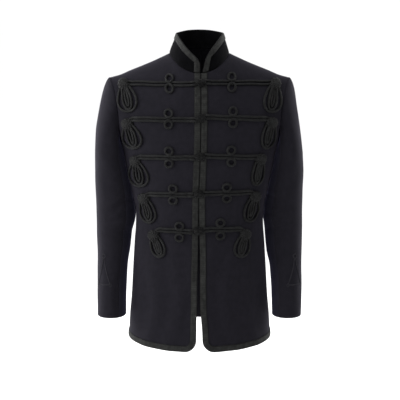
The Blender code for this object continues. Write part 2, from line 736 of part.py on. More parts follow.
def collar(side, angle, up):
    """Points of the collar: up 0 at the neck seam, 1 at its top edge."""
    angle, up = np.broadcast_arrays(np.asarray(angle, float), np.asarray(up, float))
    base = neck_seam(side, angle) + np.array([0, 0, COLLAR_GAP])
    rise = np.abs(np.sin(angle)) ** COLLAR_TOP_CURVE
    front_z = mix(COLLAR_TOP_FRONT[1], COLLAR_TOP_SIDE[1], rise)
    back_z = mix(COLLAR_TOP_SIDE[1], COLLAR_TOP_BACK[1], np.cos(angle) ** 2)
    out = np.where(angle <= pi / 2, COLLAR_TOP_FRONT[0], COLLAR_TOP_BACK[0])
    top = np.stack(
        [
            side * COLLAR_TOP_SIDE[0] * np.sin(angle),
            -out * np.cos(angle),
            np.where(angle <= pi / 2, front_z, back_z),
        ],
        axis=-1,
    )
    return mix(base, top, up[..., None])


def collar_cloth(side, angle, up):
    angle, up = np.broadcast_arrays(np.asarray(angle, float), np.asarray(up, float))

    def surface(u, v):
        return collar(side, u, v)

    points = surface(angle, up)
    middle = np.zeros_like(points)
    middle[..., 2] = points[..., 2]
    small = 1e-3
    away_from_back = np.clip(angle, -pi, pi - small)
    return points, normals_of(surface, away_from_back, up, middle)


def collar_height(side, angle):
    return np.linalg.norm(collar(side, angle, 1.0) - collar(side, angle, 0.0), axis=-1)


def collar_angle(side, distance, up):
    """The angle at a distance from the collar's end."""
    end = mix(COLLAR_END_BASE[side], COLLAR_END_TOP[side], up)
    return (end + distance) / mix(COLLAR_REACH_BASE, COLLAR_REACH_TOP, up)


def corner_drop(distance):
    """How far the rounded corner lies under the collar's top edge at a distance from its end."""
    inside = np.clip(COLLAR_CORNER - distance, 0, COLLAR_CORNER)
    return COLLAR_CORNER - np.sqrt(COLLAR_CORNER**2 - inside**2)


def collar_half(side):
    """Angles and heights of one half of the collar, in rows from the seam up."""
    near = np.array(COLLAR_ENDS_AT)
    angles = []
    ups = []
    for share in np.linspace(0, 1, 4):
        first = collar_angle(side, near, share)
        top = 1 - corner_drop(near) / collar_height(side, first)
        up = share * top
        first = collar_angle(side, near, up)
        rest = np.linspace(first[-1], pi, COLLAR_STEPS + 1)[1:]
        angles.append(np.concatenate([first, rest]))
        ups.append(np.concatenate([up, np.full(COLLAR_STEPS, share)]))
    return np.array(angles), np.array(ups)


def join_halves(half, *args):
    """Points and normals of both halves in one grid, from the right end round the back to the left."""
    grids = []
    for side in (-1, 1):
        angles, ups = half(side, *args)
        points, normals = collar_cloth(side, angles, ups)
        grids.append((points, normals))
    (right, right_normals), (left, left_normals) = grids
    points = np.concatenate([right, left[:, -2::-1]], axis=1)
    normals = np.concatenate([right_normals, left_normals[:, -2::-1]], axis=1)
    return points, normals


def make_collar(velvet):
    points, normals = join_halves(collar_half)
    return shell("collar", points, normals, WALL, velvet)


def collar_braid_half(side):
    """Angles and heights of one half of the collar's braid, in rows from the edge inwards."""
    angles = []
    ups = []
    for share in (0, 0.5, 1):
        radius = COLLAR_CORNER - share * COLLAR_BRAID_WIDTH
        turn = np.linspace(0, pi / 2, CORNER_STEPS + 1)
        start_height = collar_height(side, collar_angle(side, share * COLLAR_BRAID_WIDTH, 0.0))
        foot = np.linspace(start_height - COLLAR_BRAID_FOOT, COLLAR_CORNER, 4)[:-1]
        down = np.concatenate([foot, COLLAR_CORNER - radius * np.sin(turn)])
        distance = np.concatenate(
            [np.full(3, share * COLLAR_BRAID_WIDTH), COLLAR_CORNER - radius * np.cos(turn)]
        )
        angle = collar_angle(side, distance, 0.5)
        for _ in range(8):
            up = 1 - down / collar_height(side, angle)
            angle = collar_angle(side, distance, up)
        rest = np.linspace(angle[-1], pi, COLLAR_BRAID_STEPS + 1)[1:]
        rest_up = 1 - share * COLLAR_BRAID_WIDTH / collar_height(side, rest)
        angles.append(np.concatenate([angle, rest]))
        ups.append(np.concatenate([up, rest_up]))
    return np.array(angles), np.array(ups)


def make_collar_braid(mohair):
    points, normals = join_halves(collar_braid_half)
    return braid("collar_braid", points, normals, mohair)


def flat_cord(path, width, height, closed=False):
    """A cord lying on a plane along a path, as points and faces of a closed solid."""
    path = np.asarray(path, float)
    if closed:
        tangent = np.roll(path, -1, axis=0) - np.roll(path, 1, axis=0)
    else:
        tangent = np.gradient(path, axis=0)
    tangent = unit(tangent)
    left = np.stack([-tangent[:, 1], tangent[:, 0]], axis=-1)
    profile = ((-CORD_FOOT, 0), (CORD_FOOT, 0), (CORD_CREST, 1), (-CORD_CREST, 1))
    points = []
    for share, up in profile:
        flat = path + left * share * width
        points.append(np.column_stack([flat, np.full(len(path), up * height)]))
    points = np.stack(points, axis=1).reshape(-1, 3)
    faces = []
    last = len(path) if closed else len(path) - 1
    for k in range(last):
        here = 4 * k
        ahead = 4 * ((k + 1) % len(path))
        for side in range(4):
            after = (side + 1) % 4
            faces.append((here + side, here + after, ahead + after, ahead + side))
    if not closed:
        end = 4 * (len(path) - 1)
        faces.append((3, 2, 1, 0))
        faces.append((end, end + 1, end + 2, end + 3))
    return points, facing_out(points, faces)


def flat_cap(x, z):
    """A domed cap on a plane, with a point in the middle of its foot."""
    turn = np.arange(CAP_SIDES) * 2 * pi / CAP_SIDES
    ring = np.stack([np.cos(turn), np.sin(turn)], axis=-1)
    centre = np.array([x, z])
    foot = np.column_stack([centre + CAP_RADIUS * ring, np.zeros(CAP_SIDES)])
    brow_out, brow_up = CAP_BROW
    brow = np.column_stack([centre + brow_out * CAP_RADIUS * ring, np.full(CAP_SIDES, brow_up * CAP_HEIGHT)])
    points = np.concatenate([foot, brow, [[x, z, 0.0], [x, z, CAP_HEIGHT]]])
    faces = []
    for k in range(CAP_SIDES):
        after = (k + 1) % CAP_SIDES
        faces.append((k, after, CAP_SIDES + after, CAP_SIDES + k))
        faces.append((after, k, 2 * CAP_SIDES))
        faces.append((CAP_SIDES + k, CAP_SIDES + after, 2 * CAP_SIDES + 1))
    return points, facing_out(points, faces)


def bar_path(frog, offset):
    """One cord of a bar, from the front edge to the cap."""
    start = frog.side * closing_line(frog.inner_z) + BAR_START
    end = frog.cap_x - BAR_BEND
    count = int(np.ceil((end - start) / BAR_STEP)) + 1
    x = np.linspace(start, end, count)
    z = mix(frog.inner_z, frog.outer_z, (x - start) / (end - start)) + offset
    t = np.array([0.25, 0.5, 0.75, 1.0])
    bend = ((end, frog.outer_z + offset), (frog.cap_x - CAP_BEND, frog.outer_z + offset))
    into_cap = (frog.cap_x - CAP_ENTRY[0], frog.cap_z + CAP_ENTRY[1] + offset / 2)
    curve = [(1 - t) ** 2 * bend[0][k] + 2 * (1 - t) * t * bend[1][k] + t * t * into_cap[k] for k in (0, 1)]
    return np.column_stack([np.concatenate([x, curve[0]]), np.concatenate([z, curve[1]])])


def ring_path(x, z, radius, sides):
    turn = np.arange(sides) * 2 * pi / sides
    return np.column_stack([x + radius * np.cos(turn), z + radius * np.sin(turn)])


def drop_path(frog, loop):
    """One hanging loop of cord, from the cap round its foot and back."""
    root = np.array([frog.cap_x - DROP_ROOT[0], frog.cap_z - DROP_ROOT[1]])
    way = np.array([frog.foot_x, frog.foot_z]) - root
    beside_way = unit(np.array([-way[1], way[0]]))
    swell = (loop.share * frog.spread - LOOP_TAPER * loop.strands) / LOOP_BELLY
    t = np.linspace(0, 2 * pi, loop.steps + 1)
    beside = loop.strands * np.cos(t / 2) + swell * np.sin(t) * np.sin(t / 2)
    along = loop.reach * (1 - np.cos(t)) / 2
    return root + along[:, None] * way + beside[:, None] * beside_way


def row_z(frog, x):
    start = frog.side * closing_line(frog.inner_z) + BAR_START
    return mix(frog.inner_z, frog.outer_z, (x - start) / (frog.cap_x - BAR_BEND - start))


def frog_pieces(frog):
    """The flat pieces of a frog: two cords, two eyelets, two hanging loops and the cap."""
    eye_z = row_z(frog, frog.eyelet_x)
    half = CORD_PITCH / 2
    upper = ring_path(frog.eyelet_x, eye_z + frog.eyelet_up, EYELET_RADIUS, EYELET_SIDES)
    lower = ring_path(frog.eyelet_x, eye_z - frog.eyelet_down, EYELET_RADIUS, EYELET_SIDES)
    return [
        flat_cord(bar_path(frog, half), CORD_WIDTH, CORD_HEIGHT),
        flat_cord(bar_path(frog, -half), CORD_WIDTH, CORD_HEIGHT - CREST_STEP),
        flat_cord(upper, CORD_WIDTH, CORD_HEIGHT + 2 * CREST_STEP, closed=True),
        flat_cord(lower, CORD_WIDTH, CORD_HEIGHT + 3 * CREST_STEP, closed=True),
        flat_cord(drop_path(frog, DROP_LOOPS["outer"]), CORD_WIDTH, CORD_HEIGHT - 2 * CREST_STEP),
        flat_cord(drop_path(frog, DROP_LOOPS["inner"]), CORD_WIDTH, CORD_HEIGHT + 4 * CREST_STEP),
        flat_cap(frog.cap_x, frog.cap_z),
    ]


def fused(pieces, material):
    """The pieces joined into one solid, as points and faces."""
    objects = [mesh_object(f"piece_{k}", *piece, material) for k, piece in enumerate(pieces)]
    first = objects[0]
    for other in objects[1:]:
        join = first.modifiers.new("join", "BOOLEAN")
        join.operation = "UNION"
        join.solver = "EXACT"
        join.object = other
    bpy.context.view_layer.update()
    evaluated = first.evaluated_get(bpy.context.evaluated_depsgraph_get())
    mesh = evaluated.to_mesh()
    mesh.calc_loop_triangles()
    points = np.array([vertex.co[:] for vertex in mesh.vertices])
    faces = [tuple(triangle.vertices) for triangle in mesh.loop_triangles]
    evaluated.to_mesh_clear()
    for obj in objects:
        bpy.data.objects.remove(obj)
    return points, faces


def make_frog(frog, label, cording):
    """A frog made flat, then laid on the front's cloth and over the braid of its edge."""
    points, faces = fused(frog_pieces(frog), cording)
    cloth, normals = front_cloth_at(frog.side, points[:, 0], points[:, 1])
    edge = front_edge(frog.side, points[:, 1])
    beyond = (LIFT_ENDS - (points[:, 0] - edge)) / (LIFT_ENDS - LIFT_FULL)
    outside = (points[:, 0] - OUTSIDE_FROM) / OUTSIDE_RUN
    lift = CORD_GAP + LIFT_ON_BRAID * smooth_step(beyond) + LIFT_OUTSIDE * smooth_step(outside)
    laid = cloth + normals * (points[:, 2] + lift)[:, None]
    return mesh_object(f"frog_{label}_{frog.row}", laid, facing_out(laid, faces), cording)


def olivet_form():
    """Points and faces of a toggle lying along its first direction."""
    half_x, half_z, half_thick = OLIVET_HALF
    points = [(-half_x, 0.0, 0.0)]
    for k in range(1, OLIVET_RINGS + 1):
        along = pi * k / (OLIVET_RINGS + 1)
        girth = np.sin(along)
        for side in range(OLIVET_SIDES):
            turn = 2 * pi * side / OLIVET_SIDES
            thick = half_thick * girth * np.sin(turn)
            tall = half_z * girth * np.cos(turn)
            points.append((-half_x * np.cos(along), thick, tall))
    points.append((half_x, 0.0, 0.0))
    faces = []
    last = len(points) - 1
    for side in range(OLIVET_SIDES):
        after = (side + 1) % OLIVET_SIDES
        faces.append((0, 1 + after, 1 + side))
        faces.append((last, last - OLIVET_SIDES + side, last - OLIVET_SIDES + after))
        for k in range(OLIVET_RINGS - 1):
            here = 1 + OLIVET_SIDES * k
            next_ring = here + OLIVET_SIDES
            faces.append((here + side, here + after, next_ring + after, next_ring + side))
    return np.array(points), faces


def make_olivet(row, netting):
    """A netted toggle lying over the closing line, a little above the braids."""
    rows = [frog for frog in FROGS if frog.row == row]
    z = sum(frog.inner_z for frog in rows) / len(rows)
    cloth, normals = front_cloth_at(1, closing_line(z), z)
    local, faces = olivet_form()
    up = TRIM_GAP + BRAID_THICK + OLIVET_CLEAR + OLIVET_HALF[2]
    out = unit(normals * np.array([0.0, 1.0, 1.0]))
    beside = np.array([1.0, 0.0, 0.0])
    upward = np.cross(beside, -out)
    placed = cloth + out * up + local[:, :1] * beside + local[:, 1:2] * out + local[:, 2:] * upward
    return mesh_object(f"olivet_{row}", placed, facing_out(placed, faces), netting)


def tracing_pieces():
    """The flat pieces of a cuff tracing: its line and point in one closed cord, and the eye on top."""
    low = TRACING_BASE_Z
    top = TRACING_POINT_Z
    corners = [(-TRACING_HALF, low), (TRACING_HALF, low), (0.0, top)]
    path = []
    for (x0, z0), (x1, z1) in zip(corners, corners[1:] + corners[:1]):
        for t in TRACING_PLACES:
            path.append((mix(x0, x1, t), mix(z0, z1, t)))
    blunt = mix(top, low, TRACING_PLACES[0])
    eye = ring_path(0.0, blunt + TRACING_EYE * EYE_SET, TRACING_EYE, EYELET_SIDES)
    return [
        flat_cord(path, TRACING_WIDTH, TRACING_HEIGHT, closed=True),
        flat_cord(eye, TRACING_WIDTH, TRACING_HEIGHT + CREST_STEP, closed=True),
    ]


def make_cuff_tracing(side, name, cording):
    points, faces = fused(tracing_pieces(), cording)
    bicep_z = ARMS[side][0].height
    cuff_z = ARMS[side][-1].height
    along = 1 + (bicep_z - points[:, 1]) / (bicep_z - cuff_z)
    turn = TRACING_TURN + points[:, 0] / ARM_RADIUS
    cloth, normals = sleeve_cloth(side, along, turn)
    laid = cloth + normals * (points[:, 2] + CORD_GAP)[:, None]
    return mesh_object(name, laid, facing_out(laid, faces), cording)


def clear_scene():
    for obj in list(bpy.data.objects):
        bpy.data.objects.remove(obj)


def make_material(name, look):
    colour, roughness = look
    material = bpy.data.materials.new(name)
    material.use_nodes = True
    shader = material.node_tree.nodes["Principled BSDF"]
    shader.inputs["Base Color"].default_value = (*colour, 1)
    shader.inputs["Roughness"].default_value = roughness
    shader.inputs["Metallic"].default_value = 0
    return material


def main():
    clear_scene()
    wool = make_material("navy_wool", WOOL)
    velvet = make_material("black_velvet", VELVET)
    mohair = make_material("mohair_braid", MOHAIR)
    cording = make_material("frogging_cord", CORDING)
    netting = make_material("olivet_netting", NETTING)
    for side, label in ((-1, "right"), (1, "left")):
        make_front(side, f"front_{label}", wool)
        make_back(side, f"back_{label}", wool)
        make_sleeve(side, label, wool)
        make_edge_braid(side, f"edge_braid_{label}", mohair)
        make_cuff_tracing(side, f"cuff_tracing_{label}", cording)
    make_back_hem_braid("edge_braid_back", mohair)
    make_collar(velvet)
    make_collar_braid(mohair)
    for frog in FROGS:
        make_frog(frog, "right" if frog.side < 0 else "left", cording)
    for row in sorted({frog.row for frog in FROGS}):
        make_olivet(row, netting)


main()
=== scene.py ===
"""The looks of the frogged patrol jacket: fine cloth on the form of its solids, plaited braid and
cord laid on it, the floor, the light and the camera.

Metres, +Z up, the front towards -Y. Side +1 is the wearer's left.
"""

from collections import namedtuple
from functools import partial
from math import cos, pi, radians, sin

import bpy
import numpy as np
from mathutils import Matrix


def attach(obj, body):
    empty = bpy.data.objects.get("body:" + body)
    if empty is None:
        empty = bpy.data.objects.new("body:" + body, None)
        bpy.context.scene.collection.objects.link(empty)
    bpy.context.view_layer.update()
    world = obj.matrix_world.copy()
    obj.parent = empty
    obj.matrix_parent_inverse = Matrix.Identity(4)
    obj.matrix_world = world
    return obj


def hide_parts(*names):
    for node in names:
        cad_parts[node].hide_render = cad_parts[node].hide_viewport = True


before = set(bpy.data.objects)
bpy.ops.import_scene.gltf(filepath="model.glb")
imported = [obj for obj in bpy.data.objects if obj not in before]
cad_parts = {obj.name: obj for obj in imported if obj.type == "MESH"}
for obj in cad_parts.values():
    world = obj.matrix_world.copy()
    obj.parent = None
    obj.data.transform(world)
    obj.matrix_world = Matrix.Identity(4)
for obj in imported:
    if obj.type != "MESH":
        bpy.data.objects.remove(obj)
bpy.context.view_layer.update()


def table(fields, *rows):
    """Rows of values, each with the names of its fields."""
    Row = namedtuple("Row", fields)
    return [Row(*row) for row in rows]


# Driving sizes of the cut
SEAM_GAP = 0.0003
TRIM_GAP = 0.00045
FRONT_GAP = 0.0006
NECK_HALF = 0.0770
SHOULDER_X = 0.2270
SHOULDER_Z = -0.0612
ARMPIT_Z = -0.2350
NECK_FRONT_Z = -0.0460
NECK_BACK_Z = 0.0120
HEM_SIDE_Z = -0.7370
HEM_FRONT_Z = -0.7495
HEM_BACK_Z = -0.7260
CORNER_RADIUS = 0.0300
FULLNESS = 0.10
WOOL_WALL = 0.0018
VELVET_WALL = 0.0019

# Sizes of the trimming
BRAID_WIDTH = 0.0158
BRAID_THICK = 0.0014
BRAID_TOP = TRIM_GAP + BRAID_THICK
LIFT_ON_BRAID = BRAID_THICK + 0.0007
CORD_PITCH = 0.0073
CORD_HALF = 0.0031
CORD_TALL = 0.0026
# How far cord stands off the cloth, and how high its middle lies, as a share of half its height
CORD_LIFT = 0.0003
CORD_SEAT = 0.94
EYELET_RADIUS = 0.0092
CAP_RADIUS = 0.0130
CAP_SPREAD = 1.10
CAP_HEIGHT = 0.0105
# Half the length, height and thickness of an olivet, and the share of each that its netted body fills
OLIVET_HALF = (0.0135, 0.0095, 0.0070)
NETTED_SHARE = (0.92, 0.80, 0.92)
OLIVET_CLEAR = 0.0001

# The body at each height: half its width at the side, and how far front and back stand out
BODY = table(
    "height half_width front back",
    (-0.7500, 0.1865, 0.1380, 0.1300),
    (-0.6790, 0.1827, 0.1360, 0.1280),
    (-0.6280, 0.1780, 0.1335, 0.1240),
    (-0.5520, 0.1734, 0.1265, 0.1140),
    (-0.4780, 0.1686, 0.1190, 0.1010),
    (-0.4450, 0.1658, 0.1172, 0.0955),
    (-0.4110, 0.1650, 0.1165, 0.0932),
    (-0.3850, 0.1677, 0.1172, 0.0942),
    (-0.3610, 0.1730, 0.1190, 0.0970),
    (-0.3090, 0.1850, 0.1240, 0.1050),
    (-0.2565, 0.1950, 0.1290, 0.1130),
    (-0.2350, 0.2000, 0.1300, 0.1155),
    (-0.1900, 0.2193, 0.1290, 0.1185),
    (-0.1480, 0.2373, 0.1255, 0.1175),
    (-0.1000, 0.2800, 0.1170, 0.1120),
    (-0.0600, 0.3000, 0.1060, 0.1040),
    (-0.0400, 0.3060, 0.1000, 0.1010),
    (0.0200, 0.3100, 0.0920, 0.0990),
)
ARCH_HEIGHT = {"front": 0.1650, "back": 0.1300}

# The shoulder line: how high it is at each distance from the middle
SHOULDER = table(
    "height distance",
    (0.0265, -0.0400),
    (0.0330, 0.0000),
    (0.0265, 0.0400),
    (0.0000, NECK_HALF),
    (-0.0118, 0.1010),
    (-0.0235, 0.1270),
    (-0.0337, 0.1520),
    (-0.0440, 0.1780),
    (-0.0547, 0.2030),
    (SHOULDER_Z, SHOULDER_X),
    (-0.0640, 0.2400),
)

# The rim of the armhole: how far out it is at each height
ARMHOLE_RIM = table(
    "height out",
    (ARMPIT_Z, 0.2000),
    (-0.1900, 0.2030),
    (-0.1480, 0.2055),
    (-0.1000, 0.2125),
    (-0.0780, 0.2190),
    (SHOULDER_Z, SHOULDER_X),
)

# The closing: how far each front edge lies from its line, and where the line runs beside the middle
FRONT_EDGE = table(
    "height apart line",
    (-0.7520, 0.0088, -0.0002),
    (-0.7000, 0.0074, -0.0006),
    (-0.6650, 0.0060, -0.0018),
    (-0.6450, 0.0044, -0.0022),
    (-0.5900, 0.0036, -0.0024),
    (-0.5000, 0.0024, -0.0014),
    (-0.4300, 0.0012, -0.0018),
    (-0.3700, FRONT_GAP, -0.0020),
    (-0.3000, FRONT_GAP, 0.0002),
    (-0.2100, FRONT_GAP, 0.0030),
    (-0.1300, FRONT_GAP, 0.0037),
    (0.0000, FRONT_GAP, 0.0030),
)

# The sleeves below the bicep line: outer and inner edge, how far the ring stands back, half its depth
ARM_FIELDS = "height outer inner middle half_depth"
RIGHT_ARM = table(
    ARM_FIELDS,
    (-0.2550, 0.2695, 0.1880, 0.0000, 0.0720),
    (-0.3090, 0.2700, 0.1780, 0.0020, 0.0690),
    (-0.3610, 0.2695, 0.1680, 0.0050, 0.0655),
    (-0.4110, 0.2685, 0.1640, 0.0080, 0.0620),
    (-0.4600, 0.2680, 0.1745, 0.0080, 0.0610),
    (-0.5000, 0.2670, 0.1800, 0.0030, 0.0600),
    (-0.5500, 0.2665, 0.1875, -0.0100, 0.0580),
    (-0.6170, 0.2650, 0.1900, -0.0320, 0.0550),
    (-0.6700, 0.2645, 0.1905, -0.0480, 0.0520),
)
LEFT_ARM = table(
    ARM_FIELDS,
    (-0.2550, 0.2670, 0.1880, 0.0000, 0.0720),
    (-0.3090, 0.2690, 0.1780, 0.0020, 0.0690),
    (-0.3610, 0.2680, 0.1680, 0.0050, 0.0655),
    (-0.4110, 0.2680, 0.1620, 0.0080, 0.0620),
    (-0.4600, 0.2680, 0.1690, 0.0080, 0.0610),
    (-0.5100, 0.2675, 0.1740, 0.0010, 0.0600),
    (-0.5500, 0.2670, 0.1830, -0.0100, 0.0580),
    (-0.6170, 0.2650, 0.1870, -0.0320, 0.0550),
    (-0.6700, 0.2630, 0.1880, -0.0480, 0.0520),
)
ARMS = {-1: RIGHT_ARM, 1: LEFT_ARM}
HEAD_OUT = {-1: 0.0000, 1: 0.0110}
# How the sleeve head leaves the rim: its way out at the armpit and at the top, forward, down and up
HEAD_WAY_OUT = (0.30, 1.00)
HEAD_WAY_FORWARD = 0.25
HEAD_WAY_DOWN = 0.35
HEAD_WAY_UP = 0.60
HEAD_LEAVE = (0.0030, 0.0180)
HEAD_ARRIVE = 0.45
# The middle and the mean radius of an arm, and how far a sleeve starts off the rim and the armpit
ARM_MIDDLE_X = 0.2250
ARM_RADIUS = 0.0450
RIM_GAP = 0.0001
ARMPIT_GAP = 0.0006
# How near the sleeves come to the body, and how softly they are pressed out there
BODY_CLEAR = 0.0026
PRESS_SOFT = 0.0020
# The turns of the seams between the top and the under sleeve
FRONT_SEAM = pi * 7 / 10
BACK_SEAM = pi * 13 / 10

# Soft folds pressed into the sleeves: where, how far they reach along and around, how deep
SLEEVE_FOLDS = table(
    "side height angle along around depth",
    (-1, -0.4000, radians(120), 0.018, radians(48), 0.0035),
    (-1, -0.4650, radians(135), 0.016, radians(40), 0.0028),
    (1, -0.3850, radians(125), 0.017, radians(50), 0.0032),
    (1, -0.4500, radians(130), 0.018, radians(42), 0.0030),
    (-1, -0.3000, radians(60), 0.030, radians(30), 0.0020),
    (1, -0.2900, radians(62), 0.030, radians(30), 0.0020),
)

# One frog on each side of each row: inner and outer height, eyelet, cap, foot and spread of its drops
FROGS = table(
    "side row inner_z outer_z eyelet_x eyelet_up eyelet_down cap_x cap_z foot_x foot_z spread",
    (-1, 1, -0.0724, -0.0742, 0.0740, 0.0125, 0.0110, 0.1903, -0.0774, 0.1739, -0.1404, 0.0236),
    (-1, 2, -0.1575, -0.1588, 0.0762, 0.0150, 0.0115, 0.1795, -0.1725, 0.1612, -0.2327, 0.0241),
    (-1, 3, -0.2518, -0.2532, 0.0754, 0.0165, 0.0147, 0.1607, -0.2665, 0.1484, -0.3305, 0.0238),
    (-1, 4, -0.3458, -0.3480, 0.0657, 0.0154, 0.0147, 0.1395, -0.3623, 0.1250, -0.4235, 0.0193),
    (-1, 5, -0.4407, -0.4388, 0.0500, 0.0122, 0.0168, 0.1154, -0.4558, 0.0976, -0.5077, 0.0161),
    (1, 1, -0.0687, -0.0728, 0.0795, 0.0135, 0.0112, 0.1903, -0.0769, 0.1779, -0.1421, 0.0219),
    (1, 2, -0.1508, -0.1580, 0.0824, 0.0156, 0.0125, 0.1797, -0.1696, 0.1676, -0.2339, 0.0172),
    (1, 3, -0.2466, -0.2530, 0.0782, 0.0162, 0.0136, 0.1526, -0.2604, 0.1432, -0.3266, 0.0150),
    (1, 4, -0.3419, -0.3430, 0.0677, 0.0143, 0.0140, 0.1397, -0.3570, 0.1250, -0.4206, 0.0179),
    (1, 5, -0.4355, -0.4368, 0.0521, 0.0170, 0.0155, 0.1152, -0.4532, 0.1026, -0.5082, 0.0190),
)

# The collar's top edge: how far it stands out and its height, at the throat, the side and the back
COLLAR_TOP_FRONT = (0.0850, -0.0100)
COLLAR_TOP_SIDE = (0.0590, 0.0506)
COLLAR_TOP_BACK = (0.0500, 0.0580)
COLLAR_TOP_CURVE = 1.35
# Where its two ends lie beside the middle, and how far a radian of its plan reaches near them
COLLAR_END_BASE = {-1: -0.0018, 1: 0.0068}
COLLAR_END_TOP = {-1: -0.0018, 1: 0.0180}
COLLAR_REACH_BASE = 0.0847
COLLAR_REACH_TOP = 0.0620
COLLAR_GAP = 0.0008
COLLAR_CORNER = 0.0165
COLLAR_BRAID_WIDTH = 0.0155
COLLAR_TUCK = 0.0022

# The bars of a frog lie on the edge braid up to LIFT_FULL from the edge and on the cloth past LIFT_ENDS
LIFT_FULL = 0.0185
LIFT_ENDS = 0.0270
BAR_START = 0.0148
BAR_UNDER_TOGGLE = 0.0040
# From the cap's middle: where a bar begins its bend, where the bend aims, and where it ends
BAR_BEND = 0.0220
BAR_AIM = 0.0060
BAR_END = (0.0030, 0.0040)
BAR_WANDER = 0.0004
# How far an eyelet is lifted where it crosses the bars, and from which distance
EYE_LIFT = 0.0026
EYE_OVER_FROM = 0.0105
EYE_OVER_RUN = 0.0060
DROP_LIFT = 0.0026
# The hanging loops of a frog: half the gap at the cap, the share of the whole drop, and of its spread
Loop = namedtuple("Loop", "strands reach share")
OUTER_LOOP = Loop(0.0095, 1.00, 1.00)
INNER_LOOP = Loop(0.0042, 0.92, 0.46)
CORE_LOOP = Loop(0.0012, 0.78, 0.16)
DROP_ROOT = (0.0020, 0.0040)
LOOP_TAPER = 0.577
LOOP_BELLY = 0.770

# The figure above each cuff, of thinner cord
TRACING_TURN = radians(60)
TRACING_BASE_Z = -0.5870
TRACING_POINT_Z = -0.5180
TRACING_HALF = 0.02236
TRACING_EYE = 0.00495
TRACING_CURL = 0.0032
# How far its legs bow out and its base bows down, and the gap beside and under its point
TRACING_BOW = (0.0025, 0.0016)
TRACING_TIP = (0.0012, 0.0040)
TRACING_CORD = (0.0013, 0.0008)
TRACING_LIFT = 0.0006
TRACING_STEP = 0.0012

# Soft creases by part and side: from one place to another, their width and depth. On the torso the
# places are x towards the side and z, on a sleeve they are the turn and z.
CREASES = {
    ("front", -1): (
        (0.186, -0.105, 0.176, -0.225, 0.010, 0.0016),
        (0.182, -0.250, 0.118, -0.372, 0.013, 0.0010),
        (0.154, -0.392, 0.098, -0.414, 0.007, 0.0010),
        (0.047, -0.515, 0.055, -0.735, 0.015, 0.0017),
        (0.100, -0.480, 0.112, -0.742, 0.020, 0.0022),
        (0.150, -0.540, 0.160, -0.735, 0.013, 0.0015),
        (0.030, -0.455, 0.036, -0.610, 0.010, -0.0008),
        (0.090, -0.062, 0.140, -0.052, 0.010, 0.0007),
        (0.010, -0.195, 0.060, -0.205, 0.012, 0.0006),
    ),
    ("front", 1): (
        (0.187, -0.100, 0.175, -0.235, 0.009, 0.0018),
        (0.180, -0.262, 0.124, -0.402, 0.015, 0.0012),
        (0.158, -0.405, 0.106, -0.428, 0.008, 0.0011),
        (0.062, -0.500, 0.070, -0.738, 0.017, 0.0019),
        (0.118, -0.500, 0.132, -0.740, 0.018, 0.0020),
        (0.158, -0.570, 0.166, -0.735, 0.012, 0.0013),
        (0.034, -0.460, 0.040, -0.640, 0.010, -0.0008),
        (0.092, -0.060, 0.145, -0.056, 0.010, 0.0008),
        (0.012, -0.292, 0.066, -0.300, 0.012, 0.0006),
    ),
    ("back", -1): (
        (0.176, -0.110, 0.160, -0.250, 0.014, 0.0026),
        (0.110, -0.120, 0.128, -0.235, 0.020, 0.0014),
        (0.140, -0.352, 0.030, -0.382, 0.011, 0.0020),
        (0.150, -0.420, 0.060, -0.432, 0.012, 0.0016),
        (0.040, -0.500, 0.052, -0.715, 0.017, 0.0024),
        (0.105, -0.470, 0.122, -0.722, 0.022, 0.0030),
        (0.150, -0.530, 0.162, -0.725, 0.013, 0.0016),
    ),
    ("back", 1): (
        (0.178, -0.105, 0.164, -0.262, 0.014, 0.0024),
        (0.118, -0.130, 0.120, -0.250, 0.020, 0.0012),
        (0.145, -0.342, 0.044, -0.376, 0.010, 0.0018),
        (0.148, -0.425, 0.075, -0.440, 0.011, 0.0018),
        (0.050, -0.485, 0.060, -0.715, 0.018, 0.0022),
        (0.112, -0.490, 0.126, -0.722, 0.021, 0.0028),
        (0.152, -0.555, 0.160, -0.725, 0.013, 0.0014),
    ),
    ("sleeve", -1): (
        (0.30, -0.085, 0.42, -0.190, 0.010, 0.0014),
        (1.60, -0.165, 1.95, -0.290, 0.012, 0.0006),
        (1.20, -0.300, 1.75, -0.345, 0.012, 0.0006),
        (2.60, -0.372, 1.50, -0.398, 0.007, 0.0026),
        (2.70, -0.420, 1.35, -0.428, 0.006, 0.0022),
        (2.70, -0.462, 1.55, -0.448, 0.007, 0.0020),
        (0.55, -0.470, 0.75, -0.600, 0.014, 0.0010),
        (2.35, -0.560, 2.10, -0.655, 0.009, 0.0012),
        (3.80, -0.240, 4.20, -0.360, 0.012, 0.0020),
        (4.30, -0.400, 3.50, -0.440, 0.010, 0.0022),
        (4.60, -0.520, 4.40, -0.650, 0.014, 0.0016),
    ),
    ("sleeve", 1): (
        (0.28, -0.088, 0.38, -0.205, 0.010, 0.0015),
        (1.62, -0.170, 2.00, -0.300, 0.012, 0.0006),
        (1.15, -0.310, 1.80, -0.352, 0.012, 0.0007),
        (2.60, -0.360, 1.45, -0.392, 0.007, 0.0028),
        (2.65, -0.408, 1.40, -0.430, 0.007, 0.0024),
        (2.75, -0.455, 1.60, -0.452, 0.006, 0.0018),
        (0.50, -0.480, 0.70, -0.610, 0.014, 0.0011),
        (2.30, -0.540, 2.15, -0.650, 0.009, 0.0013),
        (3.85, -0.235, 4.25, -0.350, 0.012, 0.0022),
        (4.35, -0.390, 3.55, -0.432, 0.010, 0.0020),
        (4.55, -0.500, 4.45, -0.645, 0.014, 0.0015),
    ),
}
CREASE_SCALE = {"front": 1.5, "back": 2.2, "sleeve": 1.2}
# How far a crease bows, how its depth swells along it, and the low ridge that goes with it
CREASE_BOW = 0.10
CREASE_SWELL = (0.55, 0.45, 0.7)
RIDGE_HEIGHT = 0.35
RIDGE_AWAY = 1.9
UNEVEN = 0.0005
SEAM_DIP = 0.0010
SEAM_REACH = 0.0026
HEAD_TUCK = 0.0018

